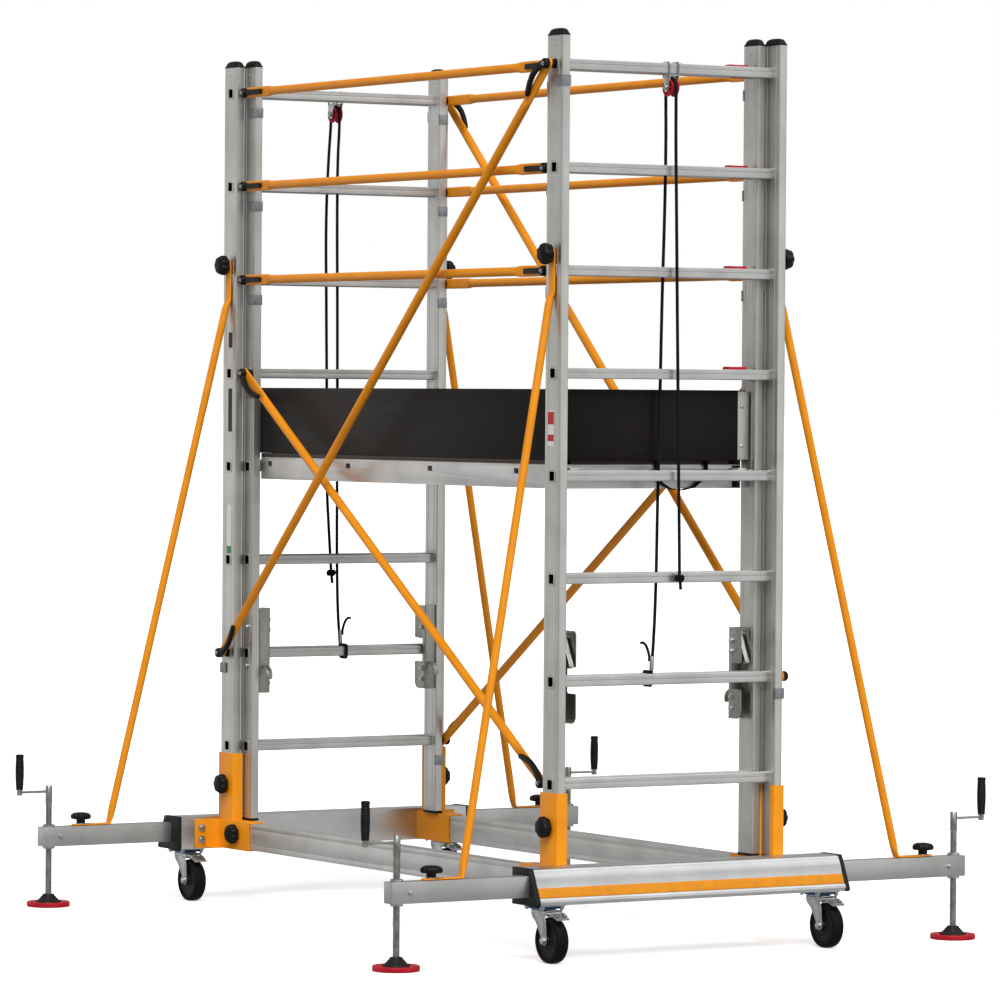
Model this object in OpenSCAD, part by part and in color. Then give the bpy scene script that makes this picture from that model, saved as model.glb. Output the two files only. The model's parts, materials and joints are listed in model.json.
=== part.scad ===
// Telescopic frame scaffold section on castors, with four outriggers and a boarded platform.
// X runs along the tower, Y across it, Z up. The origin is on the floor, under the middle.

/* [Tower] */
// Distance between the middles of the two outer ladders
tower_length = 1828; // [1600:10:2400]
// Width over the outer faces of the outer ladders
tower_width = 738; // [640:2:1000]
// Rungs on each ladder
rung_count = 8; // [8:1:10]
// Distance from one rung to the next
rung_pitch = 280; // [260:5:320]
// Height of the lowest rung above the floor
first_rung_z = 470; // [460:5:520]

/* [Ladders] */
// Depth of an outer stile, along the tower
stile_depth = 78; // [70:1:84]
// Thickness of every stile, across the tower
stile_width = 25; // [22:1:30]
// Depth of an inner stile, along the tower
fly_stile_depth = 70; // [60:1:74]
// Wall of a stile
stile_wall = 2.5; // [2:0.5:3.5]
// Distance between the middles of an outer and an inner ladder
ladder_step = 53; // [53:1:60]
// Gap between the outer stile and the inner stile beside it
ladder_gap = 10; // [8:1:14]
// Side of the square rung tube
rung_size = 28; // [26:1:30]
// Wall of a rung tube
rung_wall = 2; // [1.5:0.5:3]
// Stile above the highest rung
stile_over = 77; // [60:1:100]
// Height of the domed stile caps
cap_height = 20; // [14:1:26]

/* [Braces] */
// Outside diameter of a brace or rail tube
brace_d = 25; // [20:1:25]
// Wall of a brace or strut tube
brace_wall = 1.5; // [1:0.25:3]
// Thickness of a flattened tube end
flat_t = 8; // [6:0.5:9]
// Width of a flattened tube end
flat_w = 32; // [26:1:36]
// Length of a locking lever
lever_length = 118; // [90:1:130]

/* [Base] */
// Base beam beyond the outer face of the stile, at each end
base_overhang = 131; // [110:1:200]
// Height of the underside of the base beams above the floor
base_z = 158; // [158:1:170]
// Height of a base beam
base_h = 97; // [94:1:110]
// Width of a base beam on top
base_top_w = 83; // [80:1:95]
// How far the sloping side of a base beam leans out at its foot
base_lean = 42; // [38:1:55]
// Wall of a base beam
base_wall = 3; // [2.5:0.5:4]
// Height of a longitudinal beam
long_h = 78; // [70:1:84]
// Width of a longitudinal beam
long_w = 45; // [40:1:48]
// Wall of the yellow corner brackets
bracket_t = 4; // [3:0.5:5]
// Height of the stile socket above the base beam top
socket_h = 193; // [150:1:240]

/* [Outriggers] */
// Distance of the jack beyond the end of the base beam
jack_out = 414; // [360:2:500]
// Width of an outrigger arm
arm_w = 44; // [38:1:44]
// Height of an outrigger arm
arm_h = 58; // [50:1:60]
// Travel of an outrigger arm into its beam
arm_travel = 60; // [40:5:60]
// Diameter of a jack spindle
spindle_d = 20; // [16:1:24]
// Diameter of a jack foot
foot_d = 128; // [100:2:140]
// Height of the top of a jack spindle
spindle_top = 360; // [350:5:420]
// Length of a crank arm
crank_r = 97; // [80:1:110]
// Height on the stile of the strut's upper knob
strut_z = 1914; // [1700:2:1920]

/* [Castors] */
// Diameter of a castor wheel
wheel_d = 125; // [110:1:125]
// Width of a castor wheel
wheel_w = 36; // [28:1:40]
// Distance of the wheel axle behind the swivel axis
castor_trail = 39; // [30:1:42]
// Distance of a castor from the end of the base beam
castor_inset = 49; // [45:1:70]

/* [Platform] */
// Rung that carries the platform, counted from the lowest
platform_rung = 4; // [4:1:5]
// Gap between the toe boards and the rung above them
toe_gap = 29; // [10:1:60]
// Thickness of the toe boards
toe_t = 18; // [12:1:20]
// Height of the platform side beams
deck_beam_h = 66; // [60:1:80]
// Distance from one cross tube of the platform to the next
cross_pitch = 467; // [440:1:480]

/* [Hoist] */
// Diameter of a hoist rope
rope_d = 9; // [8:0.5:10]
// Diameter of a rope sheave
sheave_d = 58; // [50:1:60]
// Place of the pulleys across the tower
pulley_y = 8; // [0:1:20]

/* [Hidden] */

FR = [1, -1];
FL = [-1, -1];
BR = [1, 1];
BL = [-1, 1];
CORNERS = [FR, FL, BR, BL];
SIDES = [1, -1];

xo = tower_length / 2;                          // middle of an outer ladder
xi = xo - ladder_step;                          // middle of an inner ladder
yo = tower_width / 2;                           // outer face of an outer stile
yo_in = yo - stile_width;                       // inner face of an outer stile
yi = yo_in - ladder_gap;                        // outer face of an inner stile
yi_in = yi - stile_width;                       // inner face of an inner stile
top_rung_z = first_rung_z + (rung_count - 1) * rung_pitch;
stile_top = top_rung_z + stile_over;
base_length = tower_width + 2 * base_overhang;
base_top = base_z + base_h;
base_x = xo + stile_depth / 2 + bracket_t + 0.3;  // inner face of a base beam
base_out = base_x + base_top_w;                 // outer top edge of a base beam
arm_x = base_x + base_top_w - 20;               // middle plane of arms, jacks and castors
arm_z = base_z + base_h / 2 + 1.5;              // middle height of an outrigger arm
arm_top = arm_z + arm_h / 2;
jack_reach = base_length / 2 + jack_out;
castor_y = base_length / 2 - castor_inset;
arm_end = jack_reach + 26;
arm_in = base_length / 2 - 140 - arm_travel;    // inner end of an arm, inside its beam
tunnel_gap = 0.5;                               // arm to end cap, all round
long_z = base_z + 7;                            // underside of a longitudinal beam
long_y = yo + 2;                                // outer face of a longitudinal beam
sleeve_end = base_x - 189;                      // inboard end of a bracket sleeve
socket_top = base_top + socket_h;
fly_bottom = long_z + long_h + bracket_t + 8;   // underside of an inner stile
foot_cap_h = 7.7;
collar = 1.5;                                   // rung end collar proud of the stile
fly_brace_x = xo - stile_depth / 2 - 26;        // brace ends stay inboard of the outer stiles
fly_brace_y = yi + 16;
outer_brace_y = yo + 20;
lever_t = 16;                                   // lever boss, in front of the flattened end
bolt_head = 4;
platform_z = first_rung_z + (platform_rung - 1) * rung_pitch;
deck_rise = 42;                                 // deck above the middle of its rung
deck_top = platform_z + deck_rise;
toe_h = rung_pitch - rung_size / 2 - deck_rise - toe_gap;
deck_t = 12;
deck_x = xi - 24;
deck_y = yi_in - 8;
toe_x = xi;
castor_h = base_z - 3;                          // underside of a castor plate
axle_z = wheel_d / 2;
pedal_x = 46;
pedal_z = wheel_d + 10;
hatch_y = deck_y - 52;
hatch_mid = 385;                                // middle of the hatch, along the tower
hatch_length = cross_pitch - 30;                // between two cross tubes
hinge_d = 8;
hinge_y = 8.5 - hatch_y;
hinge_z = deck_top + 4;
hinge_ears = [-130, -50, 50, 130];
sheave_w = 24;
hanger_w = rung_size + 6;                       // width of a pulley's strap over the rung
vent_d = 5;                                     // vent hole of a closed tube
pulley_z = top_rung_z - rung_size / 2 - sheave_d / 2 - 8;
latch_z = first_rung_z + rung_pitch;            // the latches sit round the second rung
latch_pin_x = -12;                              // latch pin from the middle of the inner ladder
latch_pin_z = latch_z + 118;
latch_in = 38;                                  // width of a latch housing
foot_h = 37;
jack_clear = 0.6;                               // spindle to the bore through the arm
strut_knob_y = base_length / 2 + 307;
strut_bend_y = base_length / 2 + 203;
stud_d = 14;                                    // pivot stud of a strut
strut_tab = 5.5;
tab_gap = collar + 0.5;                         // strut tab clear of the rung collars

function rung_z(level) = first_rung_z + (level - 1) * rung_pitch;

// Hoist rope routes, from the tie at the inner rung over the sheave to the free end.
// X is counted from the middle of the outer ladder, positive outboard.
right_rope = [[-34, -20, 744], [-34, -19, 780], [-32, -16, 840], [-29, -12, 960], [-27, -8, 1240],
              [-27, -3, 1520], [-27, 2, 1800], [-26, 8, 2070], [-25, 9, 2250], [-25, 8, 2340],
              [-25, 8, 2379], [-22, 8, 2391], [-13, 8, 2400], [0, 8, 2404], [13, 8, 2400],
              [22, 8, 2391], [25, 8, 2379], [26, 8, 2340], [28, 7, 2250], [30, 9, 2070],
              [30, 14, 1800], [29, 20, 1520], [29, 24, 1300], [29, 27, 1160], [29, 29, 1038]];
left_rope = [[-34, -2, 744], [-34, 1, 790], [-32, 5, 850], [-29, 8, 980], [-27, 9, 1240],
             [-27, 10, 1520], [-27, 12, 1800], [-26, 14, 2070], [-25, 12, 2250], [-25, 8, 2340],
             [-25, 8, 2379], [-22, 8, 2391], [-13, 8, 2400], [0, 8, 2404], [13, 8, 2400],
             [22, 8, 2391], [25, 8, 2379], [26, 9, 2340], [28, 14, 2250], [30, 20, 2070],
             [30, 18, 1800], [29, 15, 1520], [29, 14, 1280], [29, 5, 1120], [29, -4, 994]];

module upright(depth, z0, z1) {
    // hollow stile with a shallow groove by each edge of both broad faces
    difference() {
        translate([-depth / 2, 0, z0]) cube([depth, stile_width, z1 - z0]);
        translate([-depth / 2 + stile_wall, stile_wall, z0 - 1])
            cube([depth - 2 * stile_wall, stile_width - 2 * stile_wall, z1 - z0 + 2]);
        for (side = SIDES, face = [-0.1, stile_width - 0.7])
            translate([side * (depth / 2 - 17) - 1.5, face, z0 - 1]) cube([3, 0.8, z1 - z0 + 2]);
        for (level = [1 : rung_count])
            translate([-rung_size / 2, -1, rung_z(level) - rung_size / 2])
                cube([rung_size, stile_width + 2, rung_size]);
    }
}

module rung(level, reach) {
    // square tube through both stiles, with a flared collar outside each
    translate([0, 0, rung_z(level)]) {
        difference() {
            union() {
                cube([rung_size, 2 * (reach + collar), rung_size], center = true);
                for (side = SIDES)
                    translate([0, side * (reach + collar / 2), 0])
                        cube([rung_size + 8, collar, rung_size + 10], center = true);
            }
            cube([rung_size - 2 * rung_wall, 2 * reach + 10, rung_size - 2 * rung_wall], center = true);
        }
    }
}

module stile_cap(depth, z) {
    // plug cap with a low dome
    translate([0, stile_width / 2, z]) {
        translate([-depth / 2 - 1.5, -stile_width / 2 - 1.5, 0]) cube([depth + 3, stile_width + 3, 7]);
        translate([0, 0, 7]) hull() {
            translate([-depth / 2, -stile_width / 2, 0]) cube([depth, stile_width, 1]);
            translate([-depth / 2 + 12, -stile_width / 2 + 6, cap_height - 8])
                cube([depth - 24, stile_width - 12, 1]);
        }
    }
}

module at_corner(corner, x, y) {
    // a copy in the given corner, with +X outboard and +Y towards the outside of the tower
    translate([corner[0] * x, corner[1] * y, 0]) mirror([corner[0] < 0 ? 1 : 0, 0, 0])
        mirror([0, corner[1] < 0 ? 1 : 0, 0]) children();
}

module on_both_faces() {
    // the back face repeats the front one, turned half round
    children();
    rotate([0, 0, 180]) children();
}

module brace_tube(x1, z1, x2, z2, y) {
    // round tube with flattened ends and round eyes, in a plane across Y
    run = sqrt(pow(x2 - x1, 2) + pow(z2 - z1, 2));
    slope = atan2(z2 - z1, x2 - x1);
    translate([x1, y, z1]) rotate([0, -slope, 0]) {
        difference() {
            union() {
                translate([62, 0, 0]) rotate([0, 90, 0]) cylinder(d = brace_d, h = run - 124, $fn = 48);
                for (end = [0, run]) {
                    translate([end, 0, 0]) rotate([90, 0, 0])
                        cylinder(d = flat_w, h = flat_t, center = true, $fn = 48);
                    translate([end == 0 ? 0 : end - 80, -flat_t / 2, -flat_w / 2])
                        cube([80, flat_t, flat_w]);
                }
            }
            translate([82, 0, 0]) rotate([0, 90, 0])
                cylinder(d = brace_d - 2 * brace_wall, h = run - 164, $fn = 48);
            translate([90, 0, -brace_d]) cylinder(d = vent_d, h = brace_d, $fn = 24);
            for (end = [0, run])
                translate([end, 0, 0]) rotate([90, 0, 0]) cylinder(d = 13, h = 40, center = true, $fn = 32);
        }
    }
}

module brace_lever(x, z, y, slope) {
    // plastic locking lever over a brace end, lying along the tube
    translate([x, y, z]) rotate([0, -slope, 0]) translate([0, -flat_t / 2, 0]) {
        difference() {
            union() {
                rotate([90, 0, 0]) cylinder(d = 38, h = lever_t, $fn = 48);
                translate([0, -lever_t, -10]) cube([lever_length - 20, 7, 20]);
                translate([lever_length - 20, 7 - lever_t, 0]) rotate([90, 0, 0])
                    cylinder(d = 20, h = 7, $fn = 32);
            }
            rotate([90, 0, 0]) cylinder(d = 13, h = 40, center = true, $fn = 32);
        }
    }
}

module brace_bolt(x, z, y, face) {
    // bolt with head and spacer from the stile face through the brace end and the lever
    translate([x, -face, z]) rotate([90, 0, 0]) cylinder(d = 30, h = y - face - flat_t / 2, $fn = 48);
    translate([x, -face, z]) rotate([90, 0, 0]) cylinder(d = 12, h = y - face + flat_t / 2 + lever_t, $fn = 32);
    translate([x, -y - flat_t / 2 - lever_t, z]) rotate([90, 0, 0]) cylinder(d = 19, h = bolt_head, $fn = 6);
}

module stile_clip(x, z, y, width) {
    // sheet steel clip hooked round the inboard corner of a stile, below the rung end
    inward = x > 0 ? -1 : 1;
    edge = x + inward * width / 2;
    translate([min(edge, edge - inward * 34), -y - 2, z - 74]) cube([34, 2, 30]);
    translate([inward > 0 ? edge : edge - 2, -y - 2, z - 74]) cube([2, stile_width + 4, 30]);
}

FRONT_RAILS = [for (level = [rung_count - 2 : rung_count])
    [-fly_brace_x, rung_z(level), fly_brace_x, rung_z(level)]];
FLY_DIAGONAL = [-fly_brace_x, rung_z(rung_count - 3), fly_brace_x, rung_z(1)];
OUTER_DIAGONAL = [-xo, rung_z(2), xo, rung_z(rung_count)];
FLY_RUNS = concat(FRONT_RAILS, [FLY_DIAGONAL]);

module fly_brace_set() {
    for (run = FLY_RUNS) brace_tube(run[0], run[1], run[2], run[3], -fly_brace_y);
}

module lever_pair(run, y) {
    slope = atan2(run[3] - run[1], run[2] - run[0]);
    brace_lever(run[0], run[1], -y, slope);
    translate([run[2], 0, run[3]]) mirror([1, 0, 0]) brace_lever(0, 0, -y, -slope);
}

module clip_pair(run, y, face, x, width) {
    for (end = [0, 1]) {
        side = end == 0 ? -1 : 1;
        stile_clip(side * x, run[1 + 2 * end], face, width);
        brace_bolt(run[2 * end], run[1 + 2 * end], y, face);
    }
}

module lobed_knob(d, h) {
    // lobed hand knob standing on Z, with its stem
    cylinder(d = 20, h = h * 0.45, $fn = 32);
    translate([0, 0, h * 0.4]) difference() {
        cylinder(d = d, h = h * 0.6, $fn = 48);
        for (turn = [0 : 5])
            rotate([0, 0, 60 * turn + 30]) translate([d * 0.56, 0, -1]) cylinder(d = d * 0.26, h = h, $fn = 24);
    }
}

module base_beams() {
    color("silver") for (side = [0, 1]) mirror([side, 0, 0]) difference() {
        rotate([90, 0, 0]) linear_extrude(height = base_length, center = true) beam_outline(0);
        rotate([90, 0, 0]) linear_extrude(height = base_length + 2, center = true) beam_cavity();
        for (z = [0.34, 0.66])
            translate([base_x - 0.1, -base_length, base_z + base_h * z - 2]) cube([1.6, 2 * base_length, 4]);
    }
}

module beam_outline(shrink) {
    // flat foot, sloping outer side, upright inner side
    polygon([[base_x + shrink, base_z + shrink],
        [base_out + base_lean - 4 - shrink, base_z + shrink],
        [base_out + base_lean - 1.5 * shrink, base_z + 5 + shrink / 2],
        [base_out + 3 - shrink, base_top - 6 - shrink / 2],
        [base_out - 1 - shrink, base_top - shrink],
        [base_x + shrink, base_top - shrink]]);
}

module beam_cavity() {
    // two chambers, with a web beside the arm's tunnel
    difference() {
        beam_outline(base_wall);
        translate([arm_x - arm_w / 2 - 4, base_z]) square([base_wall, base_h]);
    }
}

module long_beams() {
    color("silver") for (side = [0, 1]) mirror([0, side, 0])
        translate([0, long_y - long_w / 2, long_z + long_h / 2]) difference() {
            cube([2 * base_x - 2, long_w, long_h], center = true);
            cube([2 * base_x + 2, long_w - 6, long_h - 6], center = true);
            for (face = SIDES, z = [-0.3, 0.3])
                translate([0, face * long_w / 2, z * long_h]) cube([2 * base_x, 2, 4], center = true);
        }
}

module corner_bracket() {
    // in its corner: lipped socket for the stile, sleeve for the long beam, flange on the base beam
    inside = stile_depth + 0.6;
    lip = 16;
    translate([xo - inside / 2 - bracket_t, yo - stile_width - bracket_t - 0.3, long_z + long_h + bracket_t])
        difference() {
            cube([inside + 2 * bracket_t, stile_width + 2 * bracket_t + 0.6,
                socket_top - long_z - long_h - bracket_t]);
            translate([bracket_t, bracket_t, -1]) cube([inside, stile_width + 0.6, socket_h + 60]);
            translate([bracket_t + lip, -1, -1]) cube([inside - 2 * lip, bracket_t + 2, socket_h + 60]);
        }
    difference() {
        translate([sleeve_end, long_y - long_w - bracket_t - 0.3, long_z - bracket_t])
            cube([base_x - sleeve_end, long_w + 2 * bracket_t + 0.6, long_h + 2 * bracket_t]);
        translate([sleeve_end - 1, long_y - long_w - 0.3, long_z - 0.3])
            cube([base_x - sleeve_end + 2, long_w + 0.6, long_h + 0.6]);
    }
    translate([base_x - bracket_t, long_y, long_z - bracket_t]) cube([bracket_t, 84, long_h + 2 * bracket_t]);
    translate([base_x - bracket_t - 30, long_y + bracket_t, long_z - bracket_t])
        cube([30, 40, bracket_t]);
}

module corner_brackets() {
    color("orange") for (corner = CORNERS) at_corner(corner, 0, 0) corner_bracket();
}

module black_caps() {
    color("dimgray") {
        for (corner = CORNERS) at_corner(corner, 0, 0) {
            translate([xo, yo - stile_width, 0]) stile_cap(stile_depth, stile_top);
            difference() {
                translate([0, base_length / 2 + 14, 0]) rotate([90, 0, 0]) linear_extrude(height = 14)
                    offset(delta = 1.5) beam_outline(0);
                translate([arm_x - arm_w / 2 - tunnel_gap, base_length / 2 - 1, arm_z - arm_h / 2 - tunnel_gap])
                    cube([arm_w + 2 * tunnel_gap, 20, arm_h + 2 * tunnel_gap]);
            }
        }
    }
}

module clamp_knobs() {
    color("dimgray") for (corner = CORNERS) at_corner(corner, 0, 0) {
        translate([xo, yo + bracket_t + 0.3, base_top + 100]) rotate([-90, 0, 0]) lobed_knob(60, 34);
        translate([sleeve_end + 75, long_y + bracket_t + 0.3, long_z + 44]) rotate([-90, 0, 0])
            lobed_knob(60, 34);
        translate([xo, yo, strut_z]) rotate([-90, 0, 0])
            cylinder(d = stud_d, h = tab_gap + strut_tab + 1, $fn = 48);
        translate([xo, yo + tab_gap + strut_tab + 0.4, strut_z]) rotate([-90, 0, 0]) lobed_knob(60, 34);
    }
}

module base_fasteners() {
    // castor plates with their bolts, and the bolts of the corner brackets
    color("gainsboro") for (corner = CORNERS) at_corner(corner, 0, 0) {
        translate([arm_x, castor_y, castor_h + 1.5]) difference() {
            cube([100, 84, 3], center = true);
            cylinder(d = 20, h = 10, center = true, $fn = 32);
        }
        for (x = SIDES, y = SIDES)
            translate([arm_x + 39 * x, castor_y + 31 * y, castor_h - 7]) cylinder(d = 15, h = 7, $fn = 6);
        for (z = [0.27, 0.73])
            translate([base_x - bracket_t, long_y + 62, long_z + long_h * z]) rotate([0, -90, 0])
                cylinder(d = 17, h = 7, $fn = 6);
    }
}

module outer_stiles() {
    color("lightgray") for (corner = CORNERS)
        at_corner(corner, xo, yo - stile_width) upright(stile_depth, fly_bottom - 3, stile_top);
}

module outer_rungs() {
    color("silver") for (side = SIDES, level = [1 : rung_count]) translate([side * xo, 0, 0]) rung(level, yo);
}

module outer_braces() {
    color("orange") on_both_faces()
        brace_tube(OUTER_DIAGONAL[0], OUTER_DIAGONAL[1], OUTER_DIAGONAL[2], OUTER_DIAGONAL[3], -outer_brace_y);
}

module outer_levers() {
    color("dimgray") on_both_faces() lever_pair(OUTER_DIAGONAL, outer_brace_y);
}

module outer_clips() {
    color("gray") on_both_faces() clip_pair(OUTER_DIAGONAL, outer_brace_y, yo + collar, xo, stile_depth);
}

module pulley_hangers() {
    // two cheeks and the axle pin, hung from a strap over the top rung
    half = sheave_w / 2 + 1;
    strap_h = rung_size / 2 + 3;
    color("gray") on_both_faces() translate([xo, pulley_y, 0]) {
        for (side = [-1, 1])
            translate([-hanger_w / 2, side > 0 ? half : -half - 3, pulley_z - 12]) difference() {
                cube([hanger_w, 3, top_rung_z + strap_h - pulley_z + 12]);
                translate([(hanger_w - rung_size) / 2, -1, top_rung_z - pulley_z + 12 - rung_size / 2])
                    cube([rung_size, 5, rung_size]);
            }
        translate([-hanger_w / 2, -half, top_rung_z + rung_size / 2]) cube([hanger_w, 2 * half, 3]);
        translate([0, 0, pulley_z]) rotate([90, 0, 0])
            cylinder(d = 8, h = 2 * half + 10, center = true, $fn = 32);
    }
}

module sheave(side) {
    color("firebrick") translate([side * xo, side * pulley_y, pulley_z]) rotate([90, 0, 0]) difference() {
        rotate_extrude($fn = 64) polygon([[4.05, -sheave_w / 2], [sheave_d / 2, -sheave_w / 2],
            [sheave_d / 2, 3 - sheave_w / 2], [sheave_d / 2 - 9.6, -4.7], [sheave_d / 2 - 9.6, 4.7],
            [sheave_d / 2, sheave_w / 2 - 3], [sheave_d / 2, sheave_w / 2], [4.05, sheave_w / 2]]);
        for (turn = [0 : 4])
            rotate([0, 0, 72 * turn]) translate([9.5, 0, -20]) cylinder(d = 5, h = 40, $fn = 24);
    }
}

function subtract_unit(a, b) = (a - b) / norm(a - b);
function ring(points, index, sides, r) =
    let (last = len(points) - 1,
         ahead = subtract_unit(points[min(index + 1, last)], points[max(index - 1, 0)]),
         across = cross(ahead, [0, 1, 0]) / norm(cross(ahead, [0, 1, 0])),
         other = cross(ahead, across))
    [for (step = [0 : sides - 1])
        points[index] + r * (cos(360 * step / sides) * across + sin(360 * step / sides) * other)];

module swept_tube(points, r, sides = 8) {
    count = len(points);
    verts = [for (index = [0 : count - 1]) each ring(points, index, sides, r)];
    walls = [for (index = [0 : count - 2], step = [0 : sides - 1])
        let (here = index * sides + step, next = index * sides + (step + 1) % sides)
        [here, next, next + sides, here + sides]];
    start_face = [for (step = [sides - 1 : -1 : 0]) step];
    end_face = [for (step = [0 : sides - 1]) (count - 1) * sides + step];
    polyhedron(points = verts, faces = concat(walls, [start_face, end_face]), convexity = 8);
}

module rope_right() {
    color("black") translate([xo, 0, 0]) swept_tube(right_rope, rope_d / 2);
}

module rope_left() {
    color("black") rotate([0, 0, 180]) translate([xo, 0, 0]) swept_tube(left_rope, rope_d / 2);
}

module fly_stiles() {
    color("lightgray") for (corner = CORNERS)
        at_corner(corner, xi, yi - stile_width) upright(fly_stile_depth, fly_bottom, stile_top);
}

module fly_rungs() {
    color("silver") for (side = SIDES, level = [1 : rung_count]) translate([side * xi, 0, 0]) rung(level, yi);
}

module fly_caps() {
    color("dimgray") for (corner = CORNERS) at_corner(corner, xi, yi - stile_width) {
        stile_cap(fly_stile_depth, stile_top);
        translate([-fly_stile_depth / 2 - 1, -1, fly_bottom - foot_cap_h])
            cube([fly_stile_depth + 2, stile_width + 2, foot_cap_h]);
    }
}

module fly_braces() {
    color("orange") on_both_faces() fly_brace_set();
}

module fly_levers() {
    color("dimgray") on_both_faces() for (run = FLY_RUNS) lever_pair(run, fly_brace_y);
}

module fly_clips() {
    color("gray") on_both_faces() for (run = FLY_RUNS)
        clip_pair(run, fly_brace_y, yi + collar, xi, fly_stile_depth);
}

module rung_sleeves() {
    // red bump saddles by one stile of the right inner ladder, proud of the upper rungs
    color("firebrick") for (level = [rung_count - 4 : rung_count])
        if (level != platform_rung) translate([xi, yi_in - 47, rung_z(level)]) difference() {
            translate([0, 0, 4.5]) cube([rung_size + 6, 58, rung_size + 9], center = true);
            translate([0, 0, -1]) cube([rung_size, 60, rung_size + 2], center = true);
        }
}

module latch_housings() {
    // folded channel inside each inner stile, open outboard, notched for the rung
    color("gray") for (corner = CORNERS) at_corner(corner, xi, yi_in - latch_in) {
        difference() {
            translate([-31, 0, latch_z - 119]) cube([60, latch_in, 255]);
            translate([-28, 3, latch_z - 125]) cube([60, latch_in - 6, 270]);
            translate([0, latch_in / 2, latch_z]) cube([rung_size, latch_in + 2, rung_size], center = true);
            translate([latch_pin_x, -1, latch_pin_z]) rotate([-90, 0, 0])
                cylinder(d = 10, h = latch_in + 2, $fn = 32);
        }
        translate([latch_pin_x, 0, latch_pin_z]) rotate([-90, 0, 0]) cylinder(d = 10, h = latch_in, $fn = 32);
        translate([-29, latch_in / 2 - 8, latch_z - 100]) rotate([0, -38, 0]) cube([66, 16, 4]);
        for (z = [-90, -50, 70, 100])
            translate([-15, -5, latch_z + z]) rotate([-90, 0, 0]) cylinder(d = 11, h = 5, $fn = 6);
    }
}

module latch(corner) {
    // pawl on the housing's pin, hanging down to the outer rung
    color("silver") at_corner(corner, xi, yi_in - latch_in) translate([latch_pin_x, latch_in / 2, latch_pin_z])
        rotate([0, -27, 0]) difference() {
            union() {
                rotate([90, 0, 0]) cylinder(d = 22, h = 14, center = true, $fn = 48);
                translate([-7, -7, -92]) cube([14, 14, 92]);
            }
            rotate([90, 0, 0]) cylinder(d = 10.1, h = 20, center = true, $fn = 32);
        }
}

module platform_frame() {
    // side beams, cross tubes and hooks of the platform
    color("silver") {
        for (side = SIDES) difference() {
            translate([0, side * (deck_y - 16), deck_top - deck_t - deck_beam_h / 2])
                cube([2 * deck_x, 32, deck_beam_h], center = true);
            translate([0, side * (deck_y - 16), deck_top - deck_t - deck_beam_h / 2])
                cube([2 * deck_x + 2, 26, deck_beam_h - 6], center = true);
            for (x = cross_tubes())
                translate([x, side * (deck_y - 16), deck_top - deck_t - 20]) cube([30, 60, 20], center = true);
        }
        for (x = cross_tubes()) translate([x, 0, deck_top - deck_t - 20]) difference() {
            cube([30, 2 * deck_y + 1, 20], center = true);
            cube([25, 2 * deck_y + 4, 15], center = true);
        }
        for (x = SIDES) translate([x * (deck_x - 1.5), 0, deck_top - deck_t - deck_beam_h / 2])
            cube([3, 2 * deck_y - 64, deck_beam_h], center = true);
        for (corner = CORNERS) at_corner(corner, 0, deck_y - 24) platform_hook();
        for (x = hinge_ears) translate([hatch_mid + x, 0, 0]) hinge_ear();
        for (x = SIDES) translate([hatch_mid + x * 90, hinge_y, hinge_z]) rotate([0, 90, 0])
            cylinder(d = hinge_d, h = 88, center = true, $fn = 32);
    }
}

module hinge_ear() {
    // lug on the deck that holds the end of a hinge pin
    translate([-4, hinge_y - 28, deck_top]) cube([8, 28, 9]);
    translate([0, hinge_y, hinge_z]) rotate([0, 90, 0]) cylinder(d = 12, h = 8, center = true, $fn = 32);
}

function cross_tubes() = [for (place = [-2.5 : 0.5]) hatch_mid + cross_pitch * place];

module platform_hook() {
    // claw over the inner rung, screwed to the beam end
    over = platform_z + rung_size / 2;
    translate([deck_x, -14, over + 0.3]) cube([xi - deck_x + rung_size / 2 + 6, 28, 7]);
    translate([xi + rung_size / 2 + 0.6, -14, over - 18]) cube([6, 28, 25]);
    translate([deck_x - 40, -14, over + 0.3]) cube([40, 28, 7]);
}

module deck_boards() {
    color("saddlebrown") difference() {
        translate([0, 0, deck_top - deck_t / 2]) cube([2 * deck_x, 2 * deck_y, deck_t], center = true);
        translate([hatch_mid, 0, deck_top]) cube([hatch_length, 2 * hatch_y, 4 * deck_t], center = true);
        for (corner = CORNERS) at_corner(corner, deck_x - 21, deck_y - 24)
            translate([0, 0, deck_top]) cube([44, 32, 40], center = true);
    }
}

module toe_boards() {
    color("saddlebrown") {
        for (side = SIDES) {
            translate([0, side * (deck_y - toe_t / 2), deck_top + toe_h / 2 + 0.3])
                cube([2 * toe_x - 64, toe_t, toe_h], center = true);
            translate([side * toe_x, 0, deck_top + toe_h / 2 + 0.3])
                cube([toe_t, 2 * deck_y - 12, toe_h], center = true);
            for (end = SIDES) translate([side * (toe_x - 24), end * (deck_y - 14), deck_top + toe_h / 2 + 0.3])
                cube([30, 24, toe_h - 20], center = true);
        }
    }
}

module hatch() {
    // trapdoor in the deck, with two knuckles on its hinge pins
    color("peru") difference() {
        union() {
            translate([hatch_mid, 0, deck_top - deck_t / 2])
                cube([hatch_length - 6, 2 * hatch_y - 6, deck_t], center = true);
            for (x = SIDES) translate([hatch_mid + x * 90, hinge_y, 0]) {
                translate([0, 0, hinge_z]) rotate([0, 90, 0]) cylinder(d = 16, h = 60, center = true, $fn = 48);
                translate([-30, 0, deck_top - 2]) cube([60, 30, 6]);
            }
        }
        for (x = SIDES) translate([hatch_mid + x * 90, hinge_y, hinge_z]) rotate([0, 90, 0])
            cylinder(d = hinge_d + 0.1, h = 70, center = true, $fn = 32);
        for (x = hinge_ears) translate([hatch_mid + x, hinge_y - 6, deck_top])
            cube([14, 30, 3 * deck_t], center = true);
    }
}

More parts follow.
